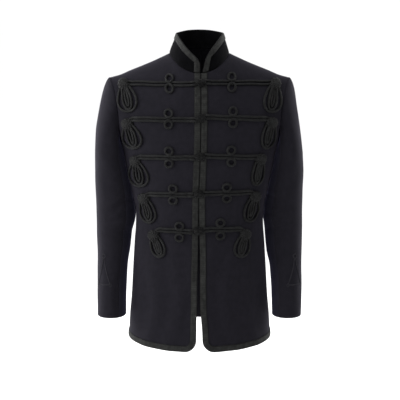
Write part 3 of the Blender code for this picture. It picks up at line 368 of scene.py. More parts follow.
# How finely the cloth, the braid, the cord and the nets are made, where half a torso is about so wide
# and a radian of a sleeve reaches so far
TORSO_REACH = 0.26
SLEEVE_REACH = 0.055
FRONT_COLUMNS = 58
BACK_COLUMNS = 50
FRONT_STEP = 0.0048
BACK_STEP = 0.0055
YOKE_STEP = 0.034
HEAD_STEP = 0.022
ARM_STEP = 0.0125
COLLAR_ROWS = 30
COLLAR_COLUMNS = 76
HEM_COLUMNS = 150
COLLAR_BRAID_COLUMNS = 130
# The pieces of a sleeve: the turns between which each lies, its columns and its look
SLEEVE_PIECES = {
    "top": (BACK_SEAM - 2 * pi, FRONT_SEAM, 62, "wool"),
    # The under sleeve takes the copy of the wool with painted sheen in its colours
    "under": (FRONT_SEAM, BACK_SEAM, 26, "under_wool_painted_sheen"),
}
# Steps beside an edge that dips into a seam, and rises above the hem that follow its rounded corner
SEAM_STEPS = np.array([0, 0.0009, 0.0019, 0.0031, 0.0046, 0.0070])
CORNER_RISES = (0, 0.0015, 0.004, 0.008, 0.0125, 0.018, 0.024, 0.030)
# The edge braid: the level of its upper end, and its steps in level, round the corner and in height
EDGE_TOP_LEVEL = 2.970
EDGE_LEVEL_STEP = 0.0095
EDGE_TURN_STEP = 0.055
BRAID_STEP = 0.0013
BRAID_COLUMNS = 15
BRAID_PITCH = 0.0046
BRAID_RELIEF = 0.00022
BRAID_RIB = 0.00016
BRAID_RIBS = 4
BRAID_LEAN = 0.9
BRAID_EDGE_DROP = 0.45
CORD_STEP = 0.0010
CORD_SIDES = 14
PLAIT = 0.09
PLAIT_PITCH = 0.0050
# Nets: the mean of net_of, and on caps and toggles the rings, the points round each and the relief
NET_MEAN = 0.8
CAP_GRID = (20, 56)
CAP_NET = 0.13
TOGGLE_GRID = (44, 32)
TOGGLE_NET = 0.10
TOGGLE_LEAN = 0.14
# The two loops of cord round a toggle: half their length and height, and how far their sides rise
TOGGLE_LOOPS = ((0.0118, 0.0079, 0.0), (0.0062, 0.0084, 0.0035))
TOGGLE_CORD = (0.0022, 0.0020)


def smooth_through(places, values):
    """A function through the values that never overshoots between them."""
    order = np.argsort(places)
    x = np.array(places, float)[order]
    y = np.array(values, float)[order]
    step = np.diff(x)
    slope = np.diff(y) / step
    tangent = np.concatenate([slope[:1], np.zeros(len(x) - 2), slope[-1:]])
    same_way = slope[:-1] * slope[1:] > 0
    inner = tangent[1:-1]
    inner[same_way] = 2 / (1 / slope[:-1][same_way] + 1 / slope[1:][same_way])

    def value(at):
        at = np.clip(at, x[0], x[-1])
        k = np.clip(np.searchsorted(x, at) - 1, 0, len(step) - 1)
        t = (at - x[k]) / step[k]
        rise = (3 - 2 * t) * t * t
        bend = step[k] * t * (1 - t) * ((1 - t) * tangent[k] - t * tangent[k + 1])
        return y[k] + (y[k + 1] - y[k]) * rise + bend

    return value


def column(rows, name, along="height"):
    return smooth_through([getattr(row, along) for row in rows], [getattr(row, name) for row in rows])


def mix(a, b, t):
    return a + (b - a) * t


def smooth_step(t):
    t = np.clip(t, 0, 1)
    return t * t * (3 - 2 * t)


def unit(vectors):
    return vectors / np.maximum(np.linalg.norm(vectors, axis=-1, keepdims=True), 1e-12)


def facing(ways, towards):
    """The directions, turned round where they point away from those given."""
    return ways * np.where(np.sum(ways * towards, axis=-1) < 0, -1, 1)[..., None]


def xyz(x, y, z):
    """Points from their coordinates."""
    return np.stack(np.broadcast_arrays(x, y, z), axis=-1)


def matched(*values):
    """The values as arrays of one shape."""
    return np.broadcast_arrays(*[np.asarray(value, float) for value in values])


def lengths_along(line):
    """How far along a line each of its points lies."""
    return np.concatenate([[0], np.cumsum(np.linalg.norm(np.diff(line, axis=0), axis=1))])


side_width = column(BODY, "half_width")
stand_out = {"front": column(BODY, "front"), "back": column(BODY, "back")}
shoulder_height = column(SHOULDER, "height", "distance")
rim_out = column(ARMHOLE_RIM, "out")
edge_apart = column(FRONT_EDGE, "apart")
closing_line = column(FRONT_EDGE, "line")

# Angles at which the shape of a section is looked up
ANGLES = np.linspace(-0.5, pi / 2 + 0.5, 2001)


def across(angle):
    """Share of the half width at an angle from the centre line, a little fuller than an ellipse."""
    return np.sin(angle) * (1 + FULLNESS * np.cos(angle) ** 2)


def outward(angle):
    """Share of the depth at an angle from the centre line."""
    return np.cos(angle) * (1 + FULLNESS * np.sin(angle) ** 2)


def angle_across(share):
    first_part = ANGLES[ANGLES <= pi / 2]
    return np.interp(share, across(first_part), first_part)


def angle_outward(share):
    kept = ANGLES[ANGLES >= 0]
    return np.interp(-share, -outward(kept), kept)


def front_edge(side, z):
    """How far from the middle a front ends at the closing, measured towards its side."""
    return edge_apart(z) + side * closing_line(z)


def depth_at(face, x, z):
    """How far the front or back stands out from the side line at a place seen from the front.

    Below the chest it is the section at that height. Above, an arch brings it in over the shoulder.
    """
    section = stand_out[face](z) * outward(angle_across(x / side_width(z)))
    drop = np.clip((shoulder_height(np.abs(x)) - z) / ARCH_HEIGHT[face], 0, 1)
    return section * np.sqrt(1 - (1 - drop) ** 2)


ARMHOLE_MIDDLE = (SHOULDER_Z + ARMPIT_Z) / 2
ARMHOLE_HALF = (SHOULDER_Z - ARMPIT_Z) / 2
LEVEL_Z = {
    "front": (HEM_FRONT_Z, -0.2050, -0.0780, NECK_FRONT_Z),
    "back": (HEM_BACK_Z, -0.2050, -0.0500, NECK_BACK_Z),
}
# How far the chest, at level 1, is above the hem
BODY_RISE = {face: heights[1] - heights[0] for face, heights in LEVEL_Z.items()}
RIM_ANGLE = radians(62)
# The range of levels that is searched for a place on the front, and how often it is halved
LEVEL_RANGE = (-0.05, 3.0)
HALVINGS = 34
# A place inside the chest, and how deep inside the shoulders the cloth's outward way is taken from
CHEST_X = 0.1000
CHEST_DROP = 0.0600
INSIDE_DROP = 0.0200
INSIDE_TOP = -0.1400


def frame_at(face, level):
    """Centre height, side height, width scale and last angle of a level of the torso.

    Levels run 0 at the hem, 1 at the armpit, 2 at the shoulder tip, 3 at the neck.
    """
    level = np.asarray(level, float)
    body = np.clip(level, -0.2, 1)
    hole = np.clip(level - 1, 0, 1)
    yoke = np.clip(level - 2, 0, 1.05)
    hem, chest, tip, neck = LEVEL_Z[face]
    centre_z = mix(hem, chest, body) + (tip - chest) * hole + (neck - tip) * yoke
    body_z = mix(HEM_SIDE_Z, ARMPIT_Z, body)
    hole_z = ARMHOLE_MIDDLE - ARMHOLE_HALF * np.cos(pi * hole)
    yoke_x = mix(SHOULDER_X, NECK_HALF, yoke)
    side_z = np.where(level <= 1, body_z, np.where(level <= 2, hole_z, shoulder_height(yoke_x)))
    edge_x = np.where(level <= 1, side_width(side_z), np.where(level <= 2, rim_out(side_z), yoke_x))
    last = pi / 2 - (pi / 2 - RIM_ANGLE) * np.sin(pi * hole)
    return centre_z, side_z, edge_x / across(last), last


def torso(face, side, level, angle):
    """Points of the outer cloth of one side of the torso."""
    centre_z, side_z, width, _ = frame_at(face, level)
    x = width * across(angle)
    z = side_z + (centre_z - side_z) * np.cos(angle) ** 2
    past_side = np.where(angle > pi / 2, -1, 1)
    y = (-1 if face == "front" else 1) * past_side * depth_at(face, x, z)
    return xyz(side * x, y, z)


def armhole(side, turn):
    """The rim of the armhole: turn 0 at the shoulder tip, 90 degrees at the front."""
    turn = np.asarray(turn, float)
    z = ARMHOLE_MIDDLE + ARMHOLE_HALF * np.cos(turn)
    x = rim_out(z)
    y = np.where(np.sin(turn) > 0, -depth_at("front", x, z), depth_at("back", x, z))
    return xyz(side * x, y, z)


def out_of_armhole(side, turn):
    """The way the torso's cloth would go on past the rim, into the sleeve."""
    small = 1e-4
    rim = armhole(side, turn)
    x = np.abs(rim[..., 0])
    z = rim[..., 2]
    front = rim[..., 1] < 0

    def depth(x, z):
        return np.where(front, depth_at("front", x, z), depth_at("back", x, z))

    slope_x = (depth(x, z) - depth(x - small, z)) / small
    slope_z = (depth(x, z) - depth(x, z - small)) / small
    normal = xyz(-side * slope_x, np.where(front, -1.0, 1.0), -slope_z)
    along = armhole(side, turn + small) - armhole(side, turn - small)
    out = unit(np.cross(unit(normal), unit(along)))
    return facing(out, rim - np.array([side * CHEST_X, 0, ARMHOLE_MIDDLE - CHEST_DROP]))


def arm_ring(side, height, turn):
    """The sleeve below the bicep line."""
    names = ARM_FIELDS.split()[1:]
    outer, inner, middle, half_depth = (column(ARMS[side], name)(height) for name in names)
    x = (outer + inner) / 2 + (outer - inner) / 2 * np.cos(turn)
    y = middle - half_depth * np.sin(turn) * (1 + FULLNESS * np.cos(turn) ** 2)
    return xyz(side * x, y, height)


def beside_body(side, points):
    """The points, moved out where they would come too near the body."""
    x = side * points[..., 0]
    y = points[..., 1]
    height = np.minimum(points[..., 2], ARMPIT_Z)
    depth = np.where(y < 0, stand_out["front"](height), stand_out["back"](height))
    body_x = side_width(height) * across(angle_outward(np.clip(np.abs(y) / depth, 0, 1))) + BODY_CLEAR
    pressed = (x + body_x + np.sqrt((x - body_x) ** 2 + PRESS_SOFT**2)) / 2
    return xyz(side * pressed, y, points[..., 2])


def fold_depth(side, height, turn):
    """How far the soft folds press the sleeve in."""
    depth = 0.0
    for fold in SLEEVE_FOLDS:
        if fold.side == side:
            up = (height - fold.height) / fold.along
            round_about = (turn - fold.angle) / fold.around
            depth = depth + fold.depth * np.exp(-(up**2) - round_about**2)
    return depth


def sleeve(side, along, turn):
    """Points of a sleeve: along 0 at the armhole, 1 at the bicep line, 2 at the cuff."""
    along, turn = matched(along, turn)
    bicep_z = ARMS[side][0].height
    cuff_z = ARMS[side][-1].height
    end = arm_ring(side, np.full_like(turn, bicep_z), turn)
    top = (1 + np.cos(turn)) / 2
    beside = xyz(side * mix(ARMPIT_GAP, SEAM_GAP, top), 0, 0)
    start = armhole(side, turn) + RIM_GAP * out_of_armhole(side, turn) + beside
    out = side * mix(*HEAD_WAY_OUT, top)
    away = xyz(out, -HEAD_WAY_FORWARD * np.sin(turn), HEAD_WAY_UP * np.cos(turn) - HEAD_WAY_DOWN)
    leave = start + unit(away) * mix(*HEAD_LEAVE, top)[..., None]
    arrive = end + xyz(-side * HEAD_OUT[side] * top, 0, HEAD_ARRIVE * (start[..., 2] - bicep_z))
    t = np.clip(along, 0, 1)[..., None]
    cap = (1 - t) ** 3 * start + 3 * (1 - t) ** 2 * t * leave + 3 * (1 - t) * t * t * arrive + t**3 * end
    low = arm_ring(side, mix(bicep_z, cuff_z, along - 1), turn)
    points = np.where((along <= 1)[..., None], cap, low)
    middle = xyz(side * ARM_MIDDLE_X, 0, points[..., 2])
    folded = points + unit(middle - points) * fold_depth(side, points[..., 2], turn)[..., None]
    return beside_body(side, folded)


def normals_of(surface, u, v, away_from):
    """Outward directions of a surface, by small steps in both of its directions."""
    small = 2e-4
    along_u = surface(u + small, v) - surface(u - small, v)
    along_v = surface(u, v + small) - surface(u, v - small)
    return facing(unit(np.cross(along_u, along_v)), surface(u, v) - away_from)


def torso_cloth(face, side, level, angle):
    """Points and outward directions of the torso's outer cloth.

    Outward is away from points inside the body, which lie lower and further in at the shoulders.
    """
    level, angle = matched(level, angle)
    surface = partial(torso, face, side)
    points = surface(level, angle)
    inside = xyz(points[..., 0] / 2, 0, np.minimum(points[..., 2] - INSIDE_DROP, INSIDE_TOP))
    return points, normals_of(surface, level, angle, inside)


def sleeve_cloth(side, along, turn):
    """Points and outward directions of a sleeve's outer cloth."""
    along, turn = matched(along, turn)
    surface = partial(sleeve, side)
    small = 1e-3
    u = np.clip(along, small, 2 - small)
    centre = (surface(u, turn) + surface(u, turn + pi)) / 2
    return surface(along, turn), normals_of(surface, u, turn, centre)


def front_cloth_at(side, x, z):
    """The front's cloth where it shows at x, measured towards the side, and at height z."""
    x, z = matched(x, z)
    low, high = (np.full(x.shape, level) for level in LEVEL_RANGE)
    for _ in range(HALVINGS):
        level = (low + high) / 2
        centre_z, side_z, width, _ = frame_at("front", level)
        angle = angle_across(x / width)
        above = side_z + (centre_z - side_z) * np.cos(angle) ** 2 > z
        high = np.where(above, level, high)
        low = np.where(above, low, level)
    return torso_cloth("front", side, level, angle)


def front_start(side, level):
    """The angle where a front begins at its edge, rounded off at the hem corner."""
    centre_z, _, width, _ = frame_at("front", level)
    rise = np.clip(centre_z - HEM_FRONT_Z, 0, CORNER_RADIUS)
    rounded = CORNER_RADIUS - np.sqrt(CORNER_RADIUS**2 - (CORNER_RADIUS - rise) ** 2)
    x = front_edge(side, centre_z) + rounded
    return angle_across(x / width)


def neck_seam(side, angle):
    """The neck edge of the torso: angle 0 at the throat, 180 degrees at the back."""
    front = torso("front", side, 3.0, np.minimum(angle, pi / 2))
    back = torso("back", side, 3.0, np.minimum(pi - angle, pi / 2))
    return np.where((angle <= pi / 2)[..., None], front, back)


def collar(side, angle, up):
    """Points of the collar: up 0 at the neck seam, 1 at its top edge."""
    angle, up = matched(angle, up)
    base = neck_seam(side, angle) + np.array([0, 0, COLLAR_GAP])
    rise = np.abs(np.sin(angle)) ** COLLAR_TOP_CURVE
    front_z = mix(COLLAR_TOP_FRONT[1], COLLAR_TOP_SIDE[1], rise)
    back_z = mix(COLLAR_TOP_SIDE[1], COLLAR_TOP_BACK[1], np.cos(angle) ** 2)
    in_front = angle <= pi / 2
    out = np.where(in_front, COLLAR_TOP_FRONT[0], COLLAR_TOP_BACK[0])
    top_z = np.where(in_front, front_z, back_z)
    top = xyz(side * COLLAR_TOP_SIDE[0] * np.sin(angle), -out * np.cos(angle), top_z)
    return mix(base, top, up[..., None])


def collar_cloth(side, angle, up):
    """Points and outward directions of the collar's outer cloth."""
    angle, up = matched(angle, up)
    surface = partial(collar, side)
    points = surface(angle, up)
    before_back = np.clip(angle, -pi, pi - 1e-3)
    return points, normals_of(surface, before_back, up, xyz(0, 0, points[..., 2]))


def collar_height(side, angle):
    return np.linalg.norm(collar(side, angle, 1.0) - collar(side, angle, 0.0), axis=-1)


def collar_angle(side, distance, up):
    """The angle at a distance from the collar's end."""
    end = mix(COLLAR_END_BASE[side], COLLAR_END_TOP[side], up)
    return (end + distance) / mix(COLLAR_REACH_BASE, COLLAR_REACH_TOP, up)


def corner_drop(distance):
    """How far the rounded corner lies under the collar's top edge at a distance from its end."""
    inside = np.clip(COLLAR_CORNER - distance, 0, COLLAR_CORNER)
    return COLLAR_CORNER - np.sqrt(COLLAR_CORNER**2 - inside**2)


def crease_depth(part, side, u, z, reach):
    """How far the creases press the cloth in at a place, where a unit of u reaches so far."""
    pressed = np.zeros(np.broadcast(u, z).shape)
    for u0, z0, u1, z1, width, depth in CREASES[part, side]:
        du = (u1 - u0) * reach
        dz = z1 - z0
        long = np.hypot(du, dz)
        pu = (u - u0) * reach
        pz = z - z0
        along = (pu * du + pz * dz) / long**2
        arc = np.sin(pi * np.clip(along, 0, 1))
        off = (pu * dz - pz * du) / long - CREASE_BOW * long * arc
        before = np.minimum(along, 0) * long
        after = np.maximum(along - 1, 0) * long
        fade = np.exp(-((before**2 + after**2) / (2 * width) ** 2))
        swell = CREASE_SWELL[0] + CREASE_SWELL[1] * arc ** CREASE_SWELL[2]
        valley = np.exp(-((off / width) ** 2))
        ridge = RIDGE_HEIGHT * np.exp(-(((off - RIDGE_AWAY * width) / width) ** 2))
        pressed = pressed + CREASE_SCALE[part] * depth * fade * swell * (valley - ridge)
    return pressed


def unevenness(u, z, seed):
    """Slow, slight unevenness of hung cloth. u counts in parts that close on themselves round a sleeve."""
    total = np.sin(2 * u + 17 * z + seed) * np.sin(23 * z - u + 2.1 * seed)
    total = total + 0.6 * np.sin(3 * u - 41 * z + 1.7 * seed) * np.sin(47 * z + 3.3 * seed)
    return UNEVEN * total


def creased(face, side, points, normals):
    """The torso's cloth with its creases, which fade out at the neck and beside the side seams."""
    x = points[..., 0]
    z = points[..., 2]
    rise = unevenness(16 * x, z, 2.0 if face == "back" else 0.0)
    pressed = crease_depth(face, side, side * x, z, 1.0)
    settled = smooth_step((-0.03 - z) / 0.05)
    by_seam = smooth_step((1 - np.abs(x) / side_width(z)) / 0.02)
    relief = (rise - pressed) * settled * np.where(z < ARMPIT_Z, by_seam, 1.0)
    return points + normals * relief[..., None], normals


def dressed_torso(face, side, level, angle):
    return creased(face, side, *torso_cloth(face, side, level, angle))


def dressed_front_at(side, x, z):
    return creased("front", side, *front_cloth_at(side, x, z))


def dressed_sleeve(side, along, turn):
    """The sleeve's cloth with its creases, kept clear of the armhole and of the body."""
    points, normals = sleeve_cloth(side, along, turn)
    z = points[..., 2]
    turn = np.broadcast_to(turn, z.shape)
    relief = unevenness(turn, z, 4.0 + side)
    for whole in (-2 * pi, 0, 2 * pi):
        relief = relief - crease_depth("sleeve", side, turn + whole, z, ARM_RADIUS)
    settled = smooth_step(np.asarray(along, float) / 0.12)
    by_body = smooth_step((np.abs(np.mod(turn, 2 * pi) - pi) - 0.9) / 0.4)
    clear = np.where(relief > 0, relief * by_body, relief)
    return points + normals * (clear * settled)[..., None], normals


def new_object(name, data):
    obj = bpy.data.objects.new(name, data)
    bpy.context.scene.collection.objects.link(obj)
    return obj


def new_mesh(name, points, quads, material, uv=None, shade=None):
    """A smooth mesh object from an array of points and arrays of faces with the same count of corners."""
    mesh = bpy.data.meshes.new(name)
    loops = np.concatenate([faces.ravel() for faces in quads]).astype(np.int32)
    sizes = np.concatenate([np.full(len(faces), faces.shape[1], np.int32) for faces in quads])
    starts = np.concatenate([[0], np.cumsum(sizes)[:-1]]).astype(np.int32)
    mesh.vertices.add(len(points))
    mesh.vertices.foreach_set("co", points.astype(np.float32).ravel())
    mesh.loops.add(len(loops))
    mesh.loops.foreach_set("vertex_index", loops)
    mesh.polygons.add(len(sizes))
    mesh.polygons.foreach_set("loop_start", starts)
    mesh.polygons.foreach_set("use_smooth", np.ones(len(sizes), bool))
    if uv is not None:
        layer = mesh.uv_layers.new(name="cloth")
        layer.data.foreach_set("uv", uv.astype(np.float32)[loops].ravel())
    # The painted shade of cord, braid and nets, kept as the point attribute shade: 1 keeps the cloth's
    # colour, 0 gives the crevice shade colour
    if shade is not None:
        depth = mesh.attributes.new("shade", "FLOAT", "POINT")
        depth.data.foreach_set("value", np.clip(shade, 0, 1).astype(np.float32))
    mesh.update(calc_edges=True)
    mesh.validate()
    mesh.materials.append(material)
    return new_object(name, mesh)


def faces_turned_out(points, quads):
    """The faces, turned round where they would face in."""
    total = 0.0
    for faces in quads:
        a = points[faces[:, 0]]
        for k in range(1, faces.shape[1] - 1):
            total += np.einsum("ij,ij->", a, np.cross(points[faces[:, k]], points[faces[:, k + 1]]))
    return [faces[:, ::-1] for faces in quads] if total < 0 else quads


def walled(name, outer, inner, material, uv=None, shade=None):
    """A closed wall between two grids of points."""
    rows, columns = outer.shape[:2]
    count = rows * columns
    index = np.arange(count).reshape(rows, columns)
    top = np.stack([index[:-1, :-1], index[:-1, 1:], index[1:, 1:], index[1:, :-1]], axis=-1).reshape(-1, 4)
    rim = np.concatenate([index[0, :-1], index[:-1, -1], index[-1, :0:-1], index[:0:-1, 0]])
    ahead = np.roll(rim, -1)
    edge = np.stack([ahead, rim, rim + count, ahead + count], axis=1)
    points = np.concatenate([outer.reshape(-1, 3), inner.reshape(-1, 3)])
    quads = faces_turned_out(points, [top, top[:, ::-1] + count, edge])
    if uv is not None:
        uv = np.concatenate([uv.reshape(-1, 2)] * 2)
        shade = np.concatenate([shade.ravel()] * 2)
    return new_mesh(name, points, quads, material, uv, shade)


def grid_lengths(points):
    """Distances along the rows and along the columns of a grid of points."""
    across_rows = np.linalg.norm(np.diff(points, axis=1), axis=-1)
    along_rows = np.linalg.norm(np.diff(points, axis=0), axis=-1)
    u = np.concatenate([np.zeros((len(points), 1)), np.cumsum(across_rows, axis=1)], axis=1)
    v = np.concatenate([np.zeros((1, points.shape[1])), np.cumsum(along_rows, axis=0)], axis=0)
    return u, v


def seam_dip(distance):
    return -SEAM_DIP * np.exp(-((distance / SEAM_REACH) ** 2))


def sewn_panel(name, points, normals, material, seams):
    """A panel of cloth that dips a little along those of its edges that are named as seams."""
    u, v = grid_lengths(points)
    from_edge = {"left": u, "right": u[:, -1:] - u, "high": v[-1:] - v, "low": v}
    dip = sum(seam_dip(from_edge[edge]) for edge in seams)
    outer = points + normals * np.maximum(dip, -SEAM_DIP)[..., None]
    return walled(name, outer, outer - normals * WOOL_WALL, material)


def shares_across(count, reach, near_start, near_end):
    """Shares of a panel's width, closer beside the edges that dip into a seam."""
    steps = SEAM_STEPS / reach
    first = steps if near_start else steps[:1]
    last = 1 - steps[::-1] if near_end else 1 - steps[:1]
    middle = np.linspace(first[-1], last[0], count)[1:-1]
    return np.concatenate([first, middle, last])


def steps_between(places, step):
    """Every place, with even steps no longer than that between them."""
    filled = [np.array(places[:1], float)]
    for a, b in zip(places[:-1], places[1:]):
        count = max(1, int(np.ceil(abs(b - a) / step)))
        filled.append(np.linspace(a, b, count + 1)[1:])
    return np.concatenate(filled)


def torso_panel(name, face, side, level, first, columns, wool):
    """A front or a back, from an angle at each of its levels to the side seam."""
    seams = ("right", "high") if face == "front" else ("left", "right", "high")
    last = frame_at(face, level)[3]
    share = shares_across(columns, TORSO_REACH, "left" in seams, True)
    angle = mix(first[:, None], last[:, None], share[None, :])
    points, normals = dressed_torso(face, side, level[:, None], angle)
    return sewn_panel(name, points, normals, wool, seams)


def make_front(side, name, wool):
    rises = steps_between([CORNER_RISES[-1], 0.080, 0.100, BODY_RISE["front"]], FRONT_STEP)[1:]
    body = np.concatenate([CORNER_RISES, rises]) / BODY_RISE["front"]
    level = np.concatenate([body, steps_between([1, 2, 3], FRONT_STEP * 7)[1:]])
    return torso_panel(name, "front", side, level, front_start(side, level), FRONT_COLUMNS, wool)


def make_back(side, name, wool):
    body = steps_between([0, BODY_RISE["back"]], BACK_STEP) / BODY_RISE["back"]
    level = np.concatenate([body, steps_between([1, 2, 3], YOKE_STEP)[1:]])
    return torso_panel(name, "back", side, level, np.zeros(len(level)), BACK_COLUMNS, wool)


def tucked_under(points, normals, far, deep):
    """The panel with one more row before the first, tucked in under the cloth that it is sewn to."""
    row = points[:1] + unit(points[:1] - points[1:2]) * far - normals[:1] * deep
    return np.concatenate([row, points]), np.concatenate([normals[:1], normals])


def make_sleeve_piece(side, name, first, last, columns, wool):
    along = steps_between([0, 0.05, 1], HEAD_STEP)
    along = np.concatenate([along, steps_between([1, 2], ARM_STEP)[1:]])
    half_gap = SEAM_GAP / 2 / ARM_RADIUS
    share = shares_across(columns, (last - first) * SLEEVE_REACH, True, True)
    turn = mix(first + half_gap, last - half_gap, share)
    points, normals = dressed_sleeve(side, along[:, None], turn[None, :])
    points, normals = tucked_under(points, normals, HEAD_TUCK, HEAD_TUCK / 2)
    return sewn_panel(name, points, normals, wool, ("left", "right", "low"))


def braid_relief(distance, share, width):
    """Height of plaited braid: ribs across it that lean both ways, and a firmer rib on each edge."""
    lean = np.abs((share - 0.5) * width) * BRAID_LEAN
    plait = np.cos(2 * pi * (distance + lean) / BRAID_PITCH)
    rib = np.cos(2 * pi * share * BRAID_RIBS)
    edge = np.clip(np.abs(2 * share - 1), 0, 1) ** 8
    return BRAID_RELIEF * plait * (1 - edge) + BRAID_RIB * rib - BRAID_EDGE_DROP * BRAID_THICK * edge


def laid_braid(name, line, width, material):
    """Flat braid from a function that gives its points and normals at a share of its width."""
    shares = np.linspace(0, 1, BRAID_COLUMNS)
    points, normals = (np.stack(made, axis=1) for made in zip(*[line(share) for share in shares]))
    share, distance = np.meshgrid(shares, grid_lengths(points)[1][:, BRAID_COLUMNS // 2])
    height = BRAID_TOP + braid_relief(distance, share, width)
    outer = points + normals * height[..., None]
    inner = points + normals * TRIM_GAP * 0.6
    uv = np.stack([share * width, distance], axis=-1)
    # Painted shade: the braid darker towards its edges, where it meets the cloth, and in the grooves of its
    # plait
    by_edge = smooth_step((1 - np.abs(2 * share - 1)) / 0.34)
    shade = by_edge * (0.72 + 0.28 * np.cos(2 * pi * distance / BRAID_PITCH))
    return walled(name, outer, inner, material, uv, shade)


def edge_line(side, share):
    """The braid's way down the front edge, round the corner and along the hem to the side seam."""
    body = BODY_RISE["front"]
    rises = steps_between([body, CORNER_RADIUS], BRAID_STEP)[1:]
    level = np.concatenate([steps_between([EDGE_TOP_LEVEL, 1.0], EDGE_LEVEL_STEP), rises / body])
    x = front_edge(side, frame_at("front", level)[0]) + share * BRAID_WIDTH
    turn = steps_between([0, pi / 2], EDGE_TURN_STEP)[1:]
    radius = CORNER_RADIUS - share * BRAID_WIDTH
    corner_rise = CORNER_RADIUS - radius * np.sin(turn)
    corner_x = front_edge(side, HEM_FRONT_Z + corner_rise) + CORNER_RADIUS - radius * np.cos(turn)
    level = np.concatenate([level, corner_rise / body])
    angle = angle_across(np.concatenate([x, corner_x]) / frame_at("front", level)[2])
    hem_level = share * BRAID_WIDTH / body
    _, _, width, last = frame_at("front", hem_level)
    first = angle_across((front_edge(side, HEM_FRONT_Z) + CORNER_RADIUS) / width)
    along = np.linspace(first, last, HEM_COLUMNS)[1:]
    level = np.concatenate([level, np.full(len(along), hem_level)])
    return dressed_torso("front", side, level, np.concatenate([angle, along]))


def back_hem_line(share):
    """The braid's way along the back hem, from the right side seam to the left."""
    level = share * BRAID_WIDTH / BODY_RISE["back"]
    last = frame_at("back", level)[3]
    right = dressed_torso("back", -1, level, np.linspace(last, 0, HEM_COLUMNS))
    left = dressed_torso("back", 1, level, np.linspace(0, last, HEM_COLUMNS)[1:])
    return tuple(np.concatenate(halves) for halves in zip(right, left))


def collar_rows(shares, side):
    """Angles and heights of the collar's rows, each from the rounded corner of its end to the back."""
    near = COLLAR_CORNER * (1 - np.cos(np.linspace(0, pi / 2, 18)))
    rows = []
    for share in shares:
        first = collar_angle(side, near, share)
        up = share * (1 - corner_drop(near) / collar_height(side, first))
        first = collar_angle(side, near, up)
        rest = np.linspace(first[-1], pi, COLLAR_COLUMNS)[1:]
        rows.append((np.concatenate([first, rest]), np.concatenate([up, np.full(len(rest), share)])))
    return (np.array(made) for made in zip(*rows))


def both_sides(rows):
    """Points and normals of both halves in one grid, from the right end round the back to the left.

    The slight unevenness of the stand collar is in the points.
    """
    right, left = (collar_cloth(side, *rows(side)) for side in (-1, 1))
    points, normals = (np.concatenate([a, b[:, -2::-1]], axis=1) for a, b in zip(right, left))
    x, _, z = np.moveaxis(points, -1, 0)
    relief = 0.0006 * np.sin(70 * x + 60 * z) + 0.0004 * np.sin(130 * x - 40 * z + 1)
    return points + normals * relief[..., None], normals


def make_collar(velvet):
    points, normals = both_sides(partial(collar_rows, np.linspace(0, 1, COLLAR_ROWS)))
    dip = seam_dip(grid_lengths(points)[1])
    outer, normals = tucked_under(points + normals * dip[..., None], normals, COLLAR_TUCK, 0.0012)
    return walled("collar_velvet", outer, outer - normals * VELVET_WALL, velvet)


def collar_braid_row(share, side):
    """One line of the collar's braid, from the seam up its end, round the corner and along the top."""
    beside = share * COLLAR_BRAID_WIDTH
    radius = COLLAR_CORNER - beside
    turn = np.linspace(0, pi / 2, 22)
    start = collar_height(side, collar_angle(side, beside, 0.0))
    foot = np.linspace(start - COLLAR_GAP, COLLAR_CORNER, 16)[:-1]
    down = np.concatenate([foot, COLLAR_CORNER - radius * np.sin(turn)])
    distance = np.concatenate([np.full(len(foot), beside), COLLAR_CORNER - radius * np.cos(turn)])
    angle = collar_angle(side, distance, 0.5)
    for _ in range(8):
        up = 1 - down / collar_height(side, angle)
        angle = collar_angle(side, distance, up)
    rest = np.linspace(angle[-1], pi, COLLAR_BRAID_COLUMNS)[1:]
    rest_up = 1 - beside / collar_height(side, rest)
    return np.concatenate([angle, rest])[None, :], np.concatenate([up, rest_up])[None, :]


def collar_braid_line(share):
    points, normals = both_sides(partial(collar_braid_row, share))
    return points[0], normals[0]


def evenly(path, step, closed=False):
    """The path again, with even steps of about that length."""
    if closed:
        path = np.vstack([path, path[:1]])
    lengths = lengths_along(path)
    count = max(8, int(round(lengths[-1] / step)))
    places = np.linspace(0, lengths[-1], count + 1)
    if closed:
        places = places[:-1]
    return np.stack([np.interp(places, lengths, path[:, k]) for k in range(path.shape[1])], axis=1)


def ringed(points, across_run, along_run, shade, closed=False):
    """Points, faces, texture places and painted shade of a form made of rings of points.

    Its first and last ring are closed, or joined to each other.
    """
    rings, around = points.shape[:2]
    index = np.arange(rings * around).reshape(rings, around)
    if closed:
        index = np.vstack([index, index[:1]])
    ahead = np.roll(index, -1, axis=1)
    sides = np.stack([index[:-1], ahead[:-1], ahead[1:], index[1:]], axis=-1).reshape(-1, 4)
    quads = [sides] if closed else [sides, index[:1, ::-1], index[-1:]]
    points = points.reshape(-1, 3)
    uv = np.stack([np.tile(across_run, rings), np.repeat(along_run, around)], axis=1)
    return points, faces_turned_out(points, quads), uv, shade.ravel()


